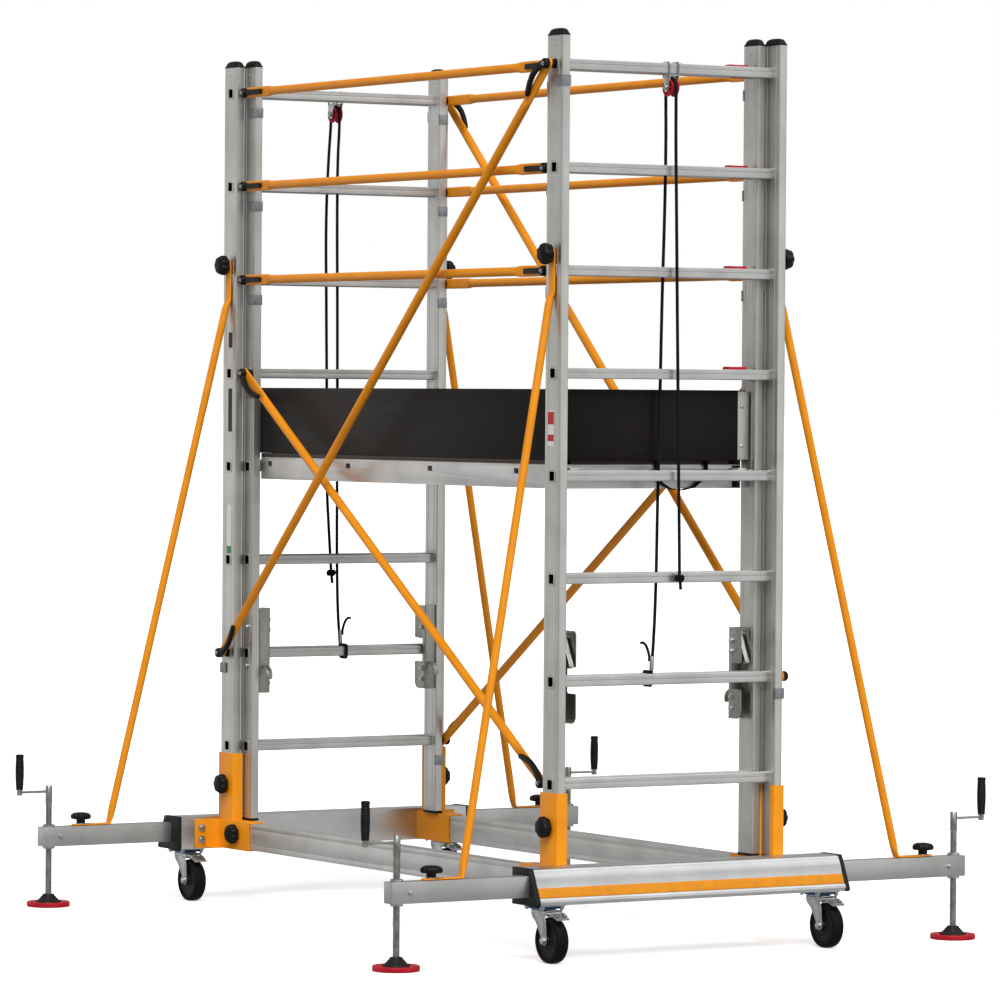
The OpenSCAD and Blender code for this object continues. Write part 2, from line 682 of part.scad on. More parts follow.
module arm(corner) {
    // outrigger tube with the nut block and bore of its jack
    color("silver") at_corner(corner, arm_x, 0) difference() {
        translate([-arm_w / 2, arm_in, arm_z - arm_h / 2]) cube([arm_w, arm_end - arm_in, arm_h]);
        translate([-arm_w / 2 + 3, arm_in - 1, arm_z - arm_h / 2 + 3])
            cube([arm_w - 6, arm_end - arm_in - 65, arm_h - 6]);
        translate([0, jack_reach, 0]) cylinder(d = spindle_d + 2 * jack_clear, h = 600, $fn = 64);
    }
}

module foot(corner) {
    // red pad with a black cone and a seat for the spindle's end
    color("firebrick") at_corner(corner, arm_x, jack_reach) rotate_extrude($fn = 96)
        polygon([[0, 0], [foot_d / 2 - 3, 0], [foot_d / 2, 3], [foot_d / 2, 13], [foot_d / 2 - 4, 17],
            [foot_d / 2 - 20, 19], [20, foot_h], [spindle_d / 2 + 0.1, foot_h],
            [spindle_d / 2 + 0.1, 16], [0, 16]]);
}

module spindle(corner) {
    // screw with crank arm, pin and grip
    color("gainsboro") at_corner(corner, arm_x, jack_reach) {
        translate([0, 0, 16]) cylinder(d = spindle_d, h = spindle_top - 16, $fn = 64);
        translate([-5, spindle_d / 2 - 3, spindle_top - 22]) cube([10, crank_r - spindle_d / 2 + 8, 8]);
        translate([0, crank_r, spindle_top - 24]) cylinder(d = 12, h = 14, $fn = 32);
        translate([0, crank_r, spindle_top - 10]) cylinder(d1 = 22, d2 = 26, h = 105, $fn = 48);
    }
}

module strut(corner) {
    // bent brace from the stile's upper knob down to the arm, with its lower knob
    low = arm_top + 0.5;
    low_t = 5;
    r = (brace_d - 3) / 2;
    start = [0, strut_tab / 2 + r + tab_gap, -95];
    bend = [arm_x - xo, strut_bend_y - yo, low + r + 2 - strut_z];
    color("orange") at_corner(corner, xo, yo) {
        difference() {
            union() {
                translate([-15, tab_gap, strut_z - 110]) cube([30, strut_tab, 110]);
                translate([0, tab_gap, strut_z]) rotate([-90, 0, 0]) cylinder(d = 30, h = strut_tab, $fn = 48);
            }
            translate([0, 0, strut_z]) rotate([-90, 0, 0]) cylinder(d = stud_d + 0.1, h = 20, $fn = 48);
        }
        translate(start + [0, 0, strut_z]) difference() {
            tube_to(bend - start, 2 * r);
            translate((bend - start) / 40) tube_to((bend - start) * 0.95, 2 * (r - brace_wall));
            translate((bend - start) / 30 + [0, 0, -1]) rotate([-90, 0, 0])
                cylinder(d = vent_d, h = r + 5, $fn = 24);
        }
        translate(bend + [-r, -r, strut_z - r - 2]) cube([2 * r, 2 * r, r + 4]);
        translate([arm_x - xo - 15, strut_bend_y - yo - 14, low])
            cube([30, strut_knob_y - strut_bend_y + 36, low_t]);
    }
    color("dimgray") at_corner(corner, arm_x, strut_knob_y) translate([0, 0, low + low_t]) lobed_knob(60, 34);
}

module tube_to(run, d) {
    flat = sqrt(run[0] * run[0] + run[1] * run[1]);
    rotate([0, 0, atan2(run[1], run[0])]) rotate([0, atan2(flat, run[2]), 0])
        cylinder(d = d, h = norm(run), $fn = 32);
}

module fork(corner) {
    // swivel head and two cheeks; every castor trails the same way
    x = corner[0] * arm_x;
    y = corner[1] * castor_y;
    color("gainsboro") translate([x, y, 0]) {
        translate([0, 0, castor_h - 13]) cylinder(d = 66, h = 12.7, $fn = 64);
        translate([-26, -wheel_w / 2 - 8, wheel_d + 3]) cube([64, wheel_w + 16, castor_h - 12 - wheel_d - 3]);
        for (side = SIDES) translate([0, side * (wheel_w / 2 + 5.5) - 1.5, 0]) hull() {
            translate([-26, 0, wheel_d + 4]) cube([62, 3, 4]);
            translate([castor_trail, 0, axle_z]) rotate([-90, 0, 0]) cylinder(d = 24, h = 3, $fn = 32);
        }
        translate([castor_trail, 0, axle_z]) rotate([90, 0, 0])
            cylinder(d = 10, h = wheel_w + 22, center = true, $fn = 32);
        for (side = SIDES) translate([28, side * 24 - 1.5, pedal_z - 6]) cube([26, 3, 14]);
        translate([pedal_x, 0, pedal_z]) rotate([90, 0, 0]) cylinder(d = 5, h = 51, center = true, $fn = 32);
    }
}

module wheel(corner) {
    color("dimgray") translate([corner[0] * arm_x + castor_trail, corner[1] * castor_y, axle_z])
        rotate([90, 0, 0]) rotate_extrude($fn = 96)
            polygon([[5.05, -wheel_w / 2 - 2], [14, -wheel_w / 2 - 2], [16, -wheel_w / 2 + 5],
                [wheel_d / 2 - 17, -wheel_w / 2 + 5], [wheel_d / 2 - 13, -wheel_w / 2],
                [wheel_d / 2 - 5, -wheel_w / 2], [wheel_d / 2, -wheel_w / 2 + 8],
                [wheel_d / 2, wheel_w / 2 - 8], [wheel_d / 2 - 5, wheel_w / 2],
                [wheel_d / 2 - 13, wheel_w / 2], [wheel_d / 2 - 17, wheel_w / 2 - 5],
                [16, wheel_w / 2 - 5], [14, wheel_w / 2 + 2], [5.05, wheel_w / 2 + 2]]);
}

module pedal(corner) {
    // brake pedal on a cross pin behind the fork head
    color("silver") translate([corner[0] * arm_x + pedal_x, corner[1] * castor_y, pedal_z])
        difference() {
            union() {
                rotate([90, 0, 0]) cylinder(d = 12, h = 44, center = true, $fn = 32);
                for (side = SIDES) translate([0, side * 16 - 2, -5]) cube([30, 4, 9]);
                translate([26, -20, -5]) rotate([0, 22, 0]) cube([26, 40, 4]);
            }
            rotate([90, 0, 0]) cylinder(d = 5.1, h = 60, center = true, $fn = 32);
        }
}

base_beams();
long_beams();
corner_brackets();
black_caps();
clamp_knobs();
base_fasteners();
outer_stiles();
outer_rungs();
outer_braces();
outer_levers();
outer_clips();
pulley_hangers();
rope_right();
rope_left();
sheave(1);  // sheave_right
sheave(-1);  // sheave_left
fly_stiles();
fly_rungs();
fly_caps();
fly_braces();
fly_levers();
fly_clips();
rung_sleeves();
latch_housings();
platform_frame();
deck_boards();
toe_boards();
hatch();
latch(FR);  // latch_fr
latch(FL);  // latch_fl
latch(BR);  // latch_br
latch(BL);  // latch_bl
arm(FR);  // arm_fr
arm(FL);  // arm_fl
arm(BR);  // arm_br
arm(BL);  // arm_bl
foot(FR);  // foot_fr
foot(FL);  // foot_fl
foot(BR);  // foot_br
foot(BL);  // foot_bl
spindle(FR);  // spindle_fr
spindle(FL);  // spindle_fl
spindle(BR);  // spindle_br
spindle(BL);  // spindle_bl
strut(FR);  // strut_fr
strut(FL);  // strut_fl
strut(BR);  // strut_br
strut(BL);  // strut_bl
fork(FR);  // fork_fr
fork(FL);  // fork_fl
fork(BR);  // fork_br
fork(BL);  // fork_bl
wheel(FR);  // wheel_fr
wheel(FL);  // wheel_fl
wheel(BR);  // wheel_br
wheel(BL);  // wheel_bl
pedal(FR);  // pedal_fr
pedal(FL);  // pedal_fl
pedal(BR);  // pedal_br
pedal(BL);  // pedal_bl
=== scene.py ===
import json
import math

import bmesh
import bpy
from mathutils import Matrix, Vector


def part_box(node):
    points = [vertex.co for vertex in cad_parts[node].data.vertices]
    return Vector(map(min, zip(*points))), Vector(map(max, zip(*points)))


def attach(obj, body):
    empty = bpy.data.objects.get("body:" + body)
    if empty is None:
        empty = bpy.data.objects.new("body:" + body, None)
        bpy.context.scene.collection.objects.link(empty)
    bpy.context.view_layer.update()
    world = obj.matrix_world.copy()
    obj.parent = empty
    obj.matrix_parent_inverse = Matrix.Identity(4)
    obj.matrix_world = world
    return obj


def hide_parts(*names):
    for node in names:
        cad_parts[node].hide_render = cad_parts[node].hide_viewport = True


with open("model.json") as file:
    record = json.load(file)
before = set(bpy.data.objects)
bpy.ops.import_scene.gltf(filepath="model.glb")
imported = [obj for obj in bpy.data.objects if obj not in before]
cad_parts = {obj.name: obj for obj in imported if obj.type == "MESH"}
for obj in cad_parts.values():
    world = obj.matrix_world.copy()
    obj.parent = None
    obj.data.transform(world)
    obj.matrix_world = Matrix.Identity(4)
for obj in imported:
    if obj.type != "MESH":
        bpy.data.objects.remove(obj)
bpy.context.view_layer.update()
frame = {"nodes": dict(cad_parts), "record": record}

# ---------------------------------------------------------------- sizes from the frame
# Everything below is in millimetres until a finished piece is scaled to metres.


def low(node):
    return Vector(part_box(node)[0]) * 1000


def high(node):
    return Vector(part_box(node)[1]) * 1000


def middle(node):
    return (low(node) + high(node)) / 2


STILE_W = 25  # thickness of every stile
OUTER_DEPTH = 78
INNER_DEPTH = 70
RUNG = 28  # side of the square rung tube
COLLAR = 1.5  # rung end proud of the stile
COLLAR_H = 38
RUNG_COUNT = 8
PLATFORM_LEVEL = 4

XO = high("outer_stiles").x - OUTER_DEPTH / 2  # middle of an outer ladder
XI = high("fly_stiles").x - INNER_DEPTH / 2  # middle of an inner ladder
YO = high("outer_stiles").y  # outer face of an outer stile
YI = high("fly_stiles").y  # outer face of an inner stile
STILE_TOP = high("outer_stiles").z
FIRST_RUNG = low("outer_rungs").z + COLLAR_H / 2
PITCH = (high("outer_rungs").z - low("outer_rungs").z - COLLAR_H) / (RUNG_COUNT - 1)

BEAM_IN = high("corner_brackets").x  # upright inner face of a base beam
BEAM_FOOT = high("base_beams").x
BEAM_LOW = low("base_beams").z
BEAM_TOP = high("base_beams").z
BEAM_END = high("base_beams").y
BEAM_SHELF = 83  # width of the beam's flat top

ARM_X = middle("arm_fr").x
ARM_LOW = low("arm_fr").z
ARM_TOP = high("arm_fr").z
JACK_Y = middle("foot_br").y
SPINDLE_TOP = 360
SPINDLE_R = 10
CRANK = high("spindle_br").y - JACK_Y - 13  # crank pin from the spindle's axis
FOOT_R = (high("foot_br").x - low("foot_br").x) / 2

STRUT_PIN = high("strut_br").z - 15
LONG_LOW = low("long_beams").z
LONG_TOP = high("long_beams").z
LONG_Y = high("long_beams").y

WHEEL_R = (high("wheel_br").z - low("wheel_br").z) / 2
WHEEL_W = 36
AXLE = middle("wheel_br")
CASTOR_X = ARM_X
CASTOR_Y = AXLE.y
PLATE_LOW = low("base_fasteners").z + 7
PEDAL_X = low("pedal_br").x + 6 - CASTOR_X
PEDAL_Z = WHEEL_R * 2 + 10

DECK_TOP = low("toe_boards").z - 0.3
TOE_TOP = high("toe_boards").z
TOE_T = 18
TOE_X = high("toe_boards").x - TOE_T / 2
TOE_Y = high("toe_boards").y

BRACE_R = 12.5
FLAT_T = 8
OUTER_BRACE_Y = YO + 20
INNER_BRACE_Y = YI + 16
INNER_BRACE_X = XI - 12
LEVER_T = 16
ROPE_D = 9
SHEAVE = middle("sheave_right")
SHEAVE_R = high("sheave_right").z - SHEAVE.z
SHEAVE_W = 24
LATCH_Z = FIRST_RUNG + PITCH
LATCH_IN = 38

CORNERS = {"fr": (1, -1), "fl": (-1, -1), "br": (1, 1), "bl": (-1, 1)}
HALF_TURN = Matrix.Rotation(math.pi, 4, "Z")
UPRIGHT = Matrix.Rotation(math.radians(90), 4, "X")  # stands a shape made on Z across the tower, along -Y


def rung_z(level):
    return FIRST_RUNG + (level - 1) * PITCH


# ---------------------------------------------------------------- camera

AZIMUTH = math.radians(58.41)
PITCH_DOWN = math.radians(1.09)
ROLL = math.radians(0.397)


def make_camera():
    ahead = Vector((-math.sin(AZIMUTH) * math.cos(PITCH_DOWN),
                    math.cos(AZIMUTH) * math.cos(PITCH_DOWN), -math.sin(PITCH_DOWN)))
    level = Vector((math.cos(AZIMUTH), math.sin(AZIMUTH), 0))
    upright = level.cross(ahead)
    right = math.cos(ROLL) * level + math.sin(ROLL) * upright
    up = -math.sin(ROLL) * level + math.cos(ROLL) * upright
    data = bpy.data.cameras.new("camera")
    data.lens = 193.3
    data.sensor_width = 36
    data.clip_end = 1500
    camera = bpy.data.objects.new("camera", data)
    turn = Matrix((right, up, -ahead)).transposed().to_4x4()
    camera.matrix_world = Matrix.Translation((13.271, -8.134, 1.522)) @ turn
    bpy.context.scene.collection.objects.link(camera)
    bpy.context.scene.camera = camera


make_camera()

# ---------------------------------------------------------------- mesh helpers


def soften(made, width, segments=2, sharper_than=32):
    """Rounds the edges whose faces meet more sharply than that angle."""
    edges = [e for e in made.edges if e.is_manifold and e.calc_face_angle(0) > math.radians(sharper_than)]
    bmesh.ops.bevel(made, geom=edges, offset=width, offset_type="OFFSET", affect="EDGES",
                    segments=segments, profile=0.5, material=-1, clamp_overlap=True)
    return made


def moved(made, matrix):
    """A copy of the shape, moved or mirrored, with its faces still outwards."""
    new = made.copy()
    bmesh.ops.transform(new, matrix=matrix, verts=new.verts)
    if matrix.determinant() < 0:
        bmesh.ops.reverse_faces(new, faces=new.faces)
    return new


def shifted(made, x=0.0, y=0.0, z=0.0):
    return moved(made, Matrix.Translation((x, y, z)))


def mirror_to(corner):
    """From the corner at +X +Y to another one."""
    return Matrix.Diagonal((corner[0], corner[1], 1, 1))


def in_corners(*shapes):
    """Each shape in all four corners."""
    return [moved(made, mirror_to(corner)) for made in shapes for corner in CORNERS.values()]


def both_ends(*shapes):
    """Each shape, and the same turned half round the tower's middle."""
    return [copy for made in shapes for copy in (made, moved(made, HALF_TURN))]


def axis_to(start, direction, across=(0, 0, 1)):
    """Matrix that lays local Z along a direction, with local X as near as it goes to another."""
    z = Vector(direction).normalized()
    x = Vector(across) - z * z.dot(Vector(across))
    if x.length < 1e-6:
        x = z.orthogonal()
    x.normalize()
    turn = Matrix((x, z.cross(x), z)).transposed().to_4x4()
    return Matrix.Translation(start) @ turn


def block(start, end, round_by=0.0, segments=2):
    """Box between two corners, with its edges rounded."""
    made = bmesh.new()
    bmesh.ops.create_cube(made, size=1)
    start, end = Vector(start), Vector(end)
    bmesh.ops.scale(made, vec=end - start, verts=made.verts)
    bmesh.ops.translate(made, vec=(start + end) / 2, verts=made.verts)
    return soften(made, round_by, segments) if round_by else made


def rod(start, end, radius, sides=28, round_by=0.0, end_radius=None):
    """Round or six-sided bar from start to end, with its rims rounded."""
    made = bmesh.new()
    run = Vector(end) - Vector(start)
    bmesh.ops.create_cone(made, cap_ends=True, segments=sides, radius1=radius,
                          radius2=radius if end_radius is None else end_radius, depth=run.length)
    place = axis_to((Vector(start) + Vector(end)) / 2, run)
    bmesh.ops.transform(made, matrix=place, verts=made.verts)
    return soften(made, round_by) if round_by else made


def turned(profile, steps=48, closed=False):
    """Shape turned about Z; the profile's points are (radius, height)."""
    made = bmesh.new()
    verts = [made.verts.new((r, 0, z)) for r, z in profile]
    pairs = list(zip(verts, verts[1:])) + ([(verts[-1], verts[0])] if closed else [])
    edges = [made.edges.new(pair) for pair in pairs]
    bmesh.ops.spin(made, geom=verts + edges, cent=(0, 0, 0), axis=(0, 0, 1),
                   angle=math.tau, steps=steps, use_merge=True)
    bmesh.ops.remove_doubles(made, verts=made.verts, dist=0.001)
    bmesh.ops.recalc_face_normals(made, faces=made.faces)
    return made


def plate(outline, thickness, round_by=0.0, segments=2):
    """Flat shape in X and Y, thickened upwards from Z 0."""
    made = bmesh.new()
    face = made.faces.new([made.verts.new((x, y, 0)) for x, y in outline])
    raised = bmesh.ops.extrude_face_region(made, geom=[face])["geom"]
    top = [v for v in raised if isinstance(v, bmesh.types.BMVert)]
    bmesh.ops.translate(made, vec=(0, 0, thickness), verts=top)
    bmesh.ops.recalc_face_normals(made, faces=made.faces)
    return soften(made, round_by, segments) if round_by else made


def lofted(rings, closed=False):
    """Skin through rings of equally many points, with its two ends filled unless it closes on itself."""
    made = bmesh.new()
    loops = []
    for ring in rings:
        verts = [made.verts.new(point) for point in ring]
        loops.append([made.edges.new((verts[i - 1], verts[i])) for i in range(len(verts))])
    pairs = list(zip(loops, loops[1:])) + ([(loops[-1], loops[0])] if closed else [])
    for one, other in pairs:
        bmesh.ops.bridge_loops(made, edges=one + other)
    if not closed:
        for loop in (loops[0], loops[-1]):
            bmesh.ops.edgeloop_fill(made, edges=loop)
    bmesh.ops.recalc_face_normals(made, faces=made.faces)
    return made


def oval(width, thickness, sides=24, fullness=2.0):
    """Section points of an oval, which turns into a rounded bar as its fullness goes up."""
    points = []
    for i in range(sides):
        c, s = math.cos(math.tau * i / sides), math.sin(math.tau * i / sides)
        points.append((math.copysign(abs(c) ** (2 / fullness), c) * width / 2,
                       math.copysign(abs(s) ** (2 / fullness), s) * thickness / 2))
    return points


def rounded(width, depth, radius, steps=4):
    """Points of a rounded rectangle about the origin."""
    points = []
    for i, (sx, sy) in enumerate([(1, 1), (-1, 1), (-1, -1), (1, -1)]):
        for step in range(steps + 1):
            angle = math.pi / 2 * (i + step / steps)
            points.append((sx * (width / 2 - radius) + radius * math.cos(angle),
                           sy * (depth / 2 - radius) + radius * math.sin(angle)))
    return points


def at_height(section, z):
    return [(x, y, z) for x, y in section]


def swept(path, sections, across):
    """Skin along a path with one section at each point; a section's width lies along across."""
    points = [Vector(p) for p in path]
    rings = []
    for i, (point, section) in enumerate(zip(points, sections)):
        ahead = (points[min(i + 1, len(points) - 1)] - points[max(i - 1, 0)]).normalized()
        side = Vector(across) - ahead * ahead.dot(Vector(across))
        side.normalize()
        top = ahead.cross(side)
        rings.append([point + side * u + top * v for u, v in section])
    return lofted(rings)


def wire(path, radius, across=(0.31, 0.92, 0.22), sides=12):
    """Round wire along a path."""
    return swept(path, [oval(2 * radius, 2 * radius, sides)] * len(path), across)


def arc(centre, radius, start, end, steps, plane="xz"):
    """Points on an arc, in degrees, in the plane of two axes."""
    first, second = ("xyz".index(axis) for axis in plane)
    points = []
    for i in range(steps + 1):
        angle = math.radians(start + (end - start) * i / steps)
        point = list(centre)
        point[first] += radius * math.cos(angle)
        point[second] += radius * math.sin(angle)
        points.append(tuple(point))
    return points


def bolt(place, direction, across_flats=17, height=7, washer=0.0, sides=6):
    """Hexagon bolt head on its washer, standing on a face."""
    place, direction = Vector(place), Vector(direction).normalized()
    seat = place + direction * (2 if washer else 0)
    parts = [rod(seat, seat + direction * height, across_flats / math.sqrt(3), sides, 0.9)]
    if washer:
        parts.append(rod(place, place + direction * 2, washer / 2, 32, 0.4))
    return parts


def dome_screw(place, direction, radius=6, height=3.4):
    """Button head with a hexagon socket."""
    head = turned([(0, height - 2), (radius * 0.36, height - 2), (radius * 0.4, height),
                   (radius * 0.62, height * 0.9), (radius * 0.88, height * 0.55), (radius, 0), (0, 0)], 24)
    return moved(head, axis_to(place, direction))


# ---------------------------------------------------------------- pieces


def body_of(node):
    """The body that a CAD node rides on."""
    for body, nodes in frame["record"]["behaviour"]["bodies"].items():
        if node in nodes:
            return body


def finish_mesh(name, made, finishes, angle):
    mesh = bpy.data.meshes.new(name)
    made.to_mesh(mesh)
    made.free()
    for finish in finishes:
        mesh.materials.append(finish)
    mesh.shade_smooth()
    mesh.set_sharp_from_angle(angle=math.radians(angle))
    thing = bpy.data.objects.new(name, mesh)
    bpy.context.scene.collection.objects.link(thing)
    return thing


def piece(name, finishes, body, stands_for=(), angle=34):
    """One finished piece: {finish: its shapes}, in metres, riding on its body."""
    whole = bmesh.new()
    for index, shapes in enumerate(finishes.values()):
        for shape in shapes:
            for face in shape.faces:
                face.material_index = index
            mesh = bpy.data.meshes.new("shape")
            shape.to_mesh(mesh)
            whole.from_mesh(mesh)
            bpy.data.meshes.remove(mesh)
    bmesh.ops.scale(whole, vec=(0.001, 0.001, 0.001), verts=whole.verts)
    thing = finish_mesh(name, whole, finishes.keys(), angle)
    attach(thing, body)
    if stands_for:
        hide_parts(*stands_for)
    return thing


def softened(node, finish, width, wanted=None, name=None):
    """A copy of a CAD node with its doubles merged, its flat faces whole and its edges rounded."""
    made = bmesh.new()
    made.from_mesh(frame["nodes"][node].data)
    bmesh.ops.remove_doubles(made, verts=made.verts, dist=1e-6)
    bmesh.ops.dissolve_limit(made, angle_limit=math.radians(1), verts=made.verts, edges=made.edges)
    if wanted:
        unwanted = [v for v in made.verts if not wanted(v.co * 1000)]
        bmesh.ops.delete(made, geom=unwanted, context="VERTS")
    soften(made, width / 1000, 2, 40)
    thing = finish_mesh(name or f"{node}_softened", made, [finish], 34)
    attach(thing, body_of(node))
    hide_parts(node)
    return thing


# ---------------------------------------------------------------- materials


def linear(code):
    """An sRGB hex colour as linear light."""
    parts = [int(code[i:i + 2], 16) / 255 for i in (1, 3, 5)]
    return tuple(p / 12.92 if p <= 0.04045 else ((p + 0.055) / 1.055) ** 2.4 for p in parts) + (1.0,)


def put(tree, kind, inputs=None, stops=None, **settings):
    """A node of that kind with its settings, and with its inputs set to values or linked to outputs."""
    node = tree.nodes.new(kind)
    for name, value in settings.items():
        setattr(node, name, value)
    for name, value in (inputs or {}).items():
        socket = node.inputs[name]
        if isinstance(value, bpy.types.NodeSocket):
            tree.links.new(value, socket)
        else:
            socket.default_value = value
    if stops:
        ramp = node.color_ramp
        while len(ramp.elements) < len(stops):
            ramp.elements.new(0.5)
        for element, (place, shade) in zip(ramp.elements, stops):
            element.position = place
            element.color = linear(shade) if isinstance(shade, str) else (shade, shade, shade, 1)
    return node


def start_material(name, **constants):
    """A material with its node tree and shader, whose constant values are set on the shader itself."""
    made = bpy.data.materials.new(name)
    made.use_nodes = True
    tree = made.node_tree
    shader = tree.nodes["Principled BSDF"]
    for socket, value in constants.items():
        shader.inputs[socket.replace("_", " ")].default_value = value
    return made, tree, shader


def extruded_aluminium(name, along, light="#c9cac8", dark="#b4b5b3", roughness=0.36):
    # Extruded 6060 aluminium, mill finish under a thin clear anodised layer: dull silver with
    # fine die lines along the profile, so its highlight is drawn out across the lines.
    made, tree, shader = start_material(name, Metallic=1.0)
    where = put(tree, "ShaderNodeTexCoord")
    fine = [900.0, 900.0, 900.0]
    fine["xyz".index(along)] = 3.0
    lines_at = put(tree, "ShaderNodeMapping", {"Vector": where.outputs["Object"], "Scale": fine})
    # Die lines are about 0.3 mm apart, drawn near 1 mm so that they show.
    lines = put(tree, "ShaderNodeTexNoise", {"Vector": lines_at.outputs[0], "Scale": 1.0, "Detail": 3.0})
    cloud = put(tree, "ShaderNodeTexNoise", {"Vector": where.outputs["Object"], "Scale": 9.0, "Detail": 4.0})
    shade = put(tree, "ShaderNodeValToRGB", {"Fac": cloud.outputs["Fac"]},
                stops=[(0.34, dark), (0.66, light)])
    tree.links.new(shade.outputs["Color"], shader.inputs["Base Color"])
    rough = put(tree, "ShaderNodeMapRange", {"Value": lines.outputs["Fac"], "From Min": 0.3, "From Max": 0.7,
                                             "To Min": roughness - 0.06, "To Max": roughness + 0.1})
    tree.links.new(rough.outputs["Result"], shader.inputs["Roughness"])
    bump = put(tree, "ShaderNodeBump", {"Height": lines.outputs["Fac"], "Strength": 0.22, "Distance": 0.0004})
    tree.links.new(bump.outputs["Normal"], shader.inputs["Normal"])
    return made


def clouded(name, cloud, stops, gloss, relief, skin=None, stretch=None, **constants):
    """Shade and roughness drift with one noise, (scale, detail); the bump, (strength, height), follows
    it or a finer one."""
    made, tree, shader = start_material(name, **constants)
    where = put(tree, "ShaderNodeTexCoord").outputs["Object"]
    at = put(tree, "ShaderNodeMapping", {"Vector": where, "Scale": stretch}).outputs[0] if stretch else where
    drift = put(tree, "ShaderNodeTexNoise", {"Vector": at, "Scale": cloud[0], "Detail": cloud[1]})
    grain = drift
    if skin:
        grain = put(tree, "ShaderNodeTexNoise", {"Vector": where, "Scale": skin[0], "Detail": skin[1]})
    shade = put(tree, "ShaderNodeValToRGB", {"Fac": drift.outputs["Fac"]}, stops=stops)
    rough = put(tree, "ShaderNodeMapRange", {"Value": drift.outputs["Fac"], "To Min": gloss[0],
                                             "To Max": gloss[1]})
    bump = put(tree, "ShaderNodeBump", {"Height": grain.outputs["Fac"], "Strength": relief[0],
                                        "Distance": relief[1]})
    tree.links.new(shade.outputs["Color"], shader.inputs["Base Color"])
    tree.links.new(rough.outputs["Result"], shader.inputs["Roughness"])
    tree.links.new(bump.outputs["Normal"], shader.inputs["Normal"])
    return made


def powder_coat(name, light, dark, roughness=0.34):
    # Polyester powder coat on steel tube: even colour, soft gloss and a fine orange peel.
    return clouded(name, (14.0, 5.0), [(0.3, dark), (0.7, light)], (roughness - 0.06, roughness + 0.1),
                   (0.16, 0.0004), skin=(420.0, 2.0), IOR=1.5, Specular_IOR_Level=0.22, Coat_Weight=0.04,
                   Coat_Roughness=0.25)


def moulded_plastic(name, light, dark, roughness=0.46, grain=900.0, relief=0.2):
    # Glass-filled nylon, injection moulded: matt, with a fine spark-eroded grain.
    return clouded(name, (30.0, 4.0), [(0.3, dark), (0.72, light)], (roughness - 0.08, roughness + 0.12),
                   (relief, 0.0003), skin=(grain, 3.0), IOR=1.53, Specular_IOR_Level=0.2)


def zinc_plate(name, light, dark, roughness=0.3):
    # Pressed or turned steel, bright zinc plated and passivated: cool silver with dull patches.
    return clouded(name, (55.0, 5.0), [(0.32, dark), (0.68, light)], (roughness - 0.08, roughness + 0.16),
                   (0.1, 0.0005), Metallic=1.0)


def film_faced_plywood(name, light, dark):
    # Birch plywood under a brown phenolic film, pressed smooth: nearly black, with a soft sheen
    # and faint cloudy streaks of the grain along the board.
    return clouded(name, (1.0, 6.0), [(0.3, dark), (0.72, light)], (0.34, 0.52), (0.14, 0.0006),
                   stretch=(6.0, 6.0, 60.0), IOR=1.54, Specular_IOR_Level=0.14)


def tyre_rubber(name, light, dark):
    # Solid rubber tyre, black and matt, with dust greying it in patches.
    return clouded(name, (60.0, 6.0), [(0.35, dark), (0.75, light)], (0.55, 0.8), (0.2, 0.0005), IOR=1.52,
                   Specular_IOR_Level=0.14)


def galvanised_sheet(name):
    # Hot-dip galvanised sheet: grey crystals of zinc, 6 to 12 mm across, each with its own gloss.
    made, tree, shader = start_material(name, Metallic=1.0)
    where = put(tree, "ShaderNodeTexCoord")
    wobble = put(tree, "ShaderNodeTexNoise", {"Vector": where.outputs["Object"], "Scale": 90.0, "Detail": 2.0})
    bent = put(tree, "ShaderNodeMixRGB", {"Color1": where.outputs["Object"], "Color2": wobble.outputs["Color"],
                                          "Fac": 0.012})
    crystal = put(tree, "ShaderNodeTexVoronoi", {"Vector": bent.outputs["Color"], "Scale": 110.0})
    shade = put(tree, "ShaderNodeValToRGB", {"Fac": crystal.outputs["Color"]},
                stops=[(0.1, "#9c9e97"), (0.5, "#a3a59e"), (0.9, "#abada7")])
    tree.links.new(shade.outputs["Color"], shader.inputs["Base Color"])
    rough = put(tree, "ShaderNodeMapRange", {"Value": crystal.outputs["Color"], "To Min": 0.38, "To Max": 0.48})
    tree.links.new(rough.outputs["Result"], shader.inputs["Roughness"])
    return made


def deck_film(name):
    # The walked-on face of the same plywood: brown film embossed with a mesh of 5 mm.
    made, tree, shader = start_material(name, IOR=1.54, Roughness=0.55)
    where = put(tree, "ShaderNodeTexCoord")
    grid = put(tree, "ShaderNodeTexVoronoi", {"Vector": where.outputs["Object"], "Scale": 200.0,
                                              "Randomness": 0.0}, feature="DISTANCE_TO_EDGE")
    shade = put(tree, "ShaderNodeValToRGB", {"Fac": grid.outputs["Distance"]},
                stops=[(0.02, "#3a2c26"), (0.16, "#2a1e1a")])
    tree.links.new(shade.outputs["Color"], shader.inputs["Base Color"])
    bump = put(tree, "ShaderNodeBump", {"Height": grid.outputs["Distance"], "Strength": 0.4,
                                        "Distance": 0.0005}, invert=True)
    tree.links.new(bump.outputs["Normal"], shader.inputs["Normal"])
    return made


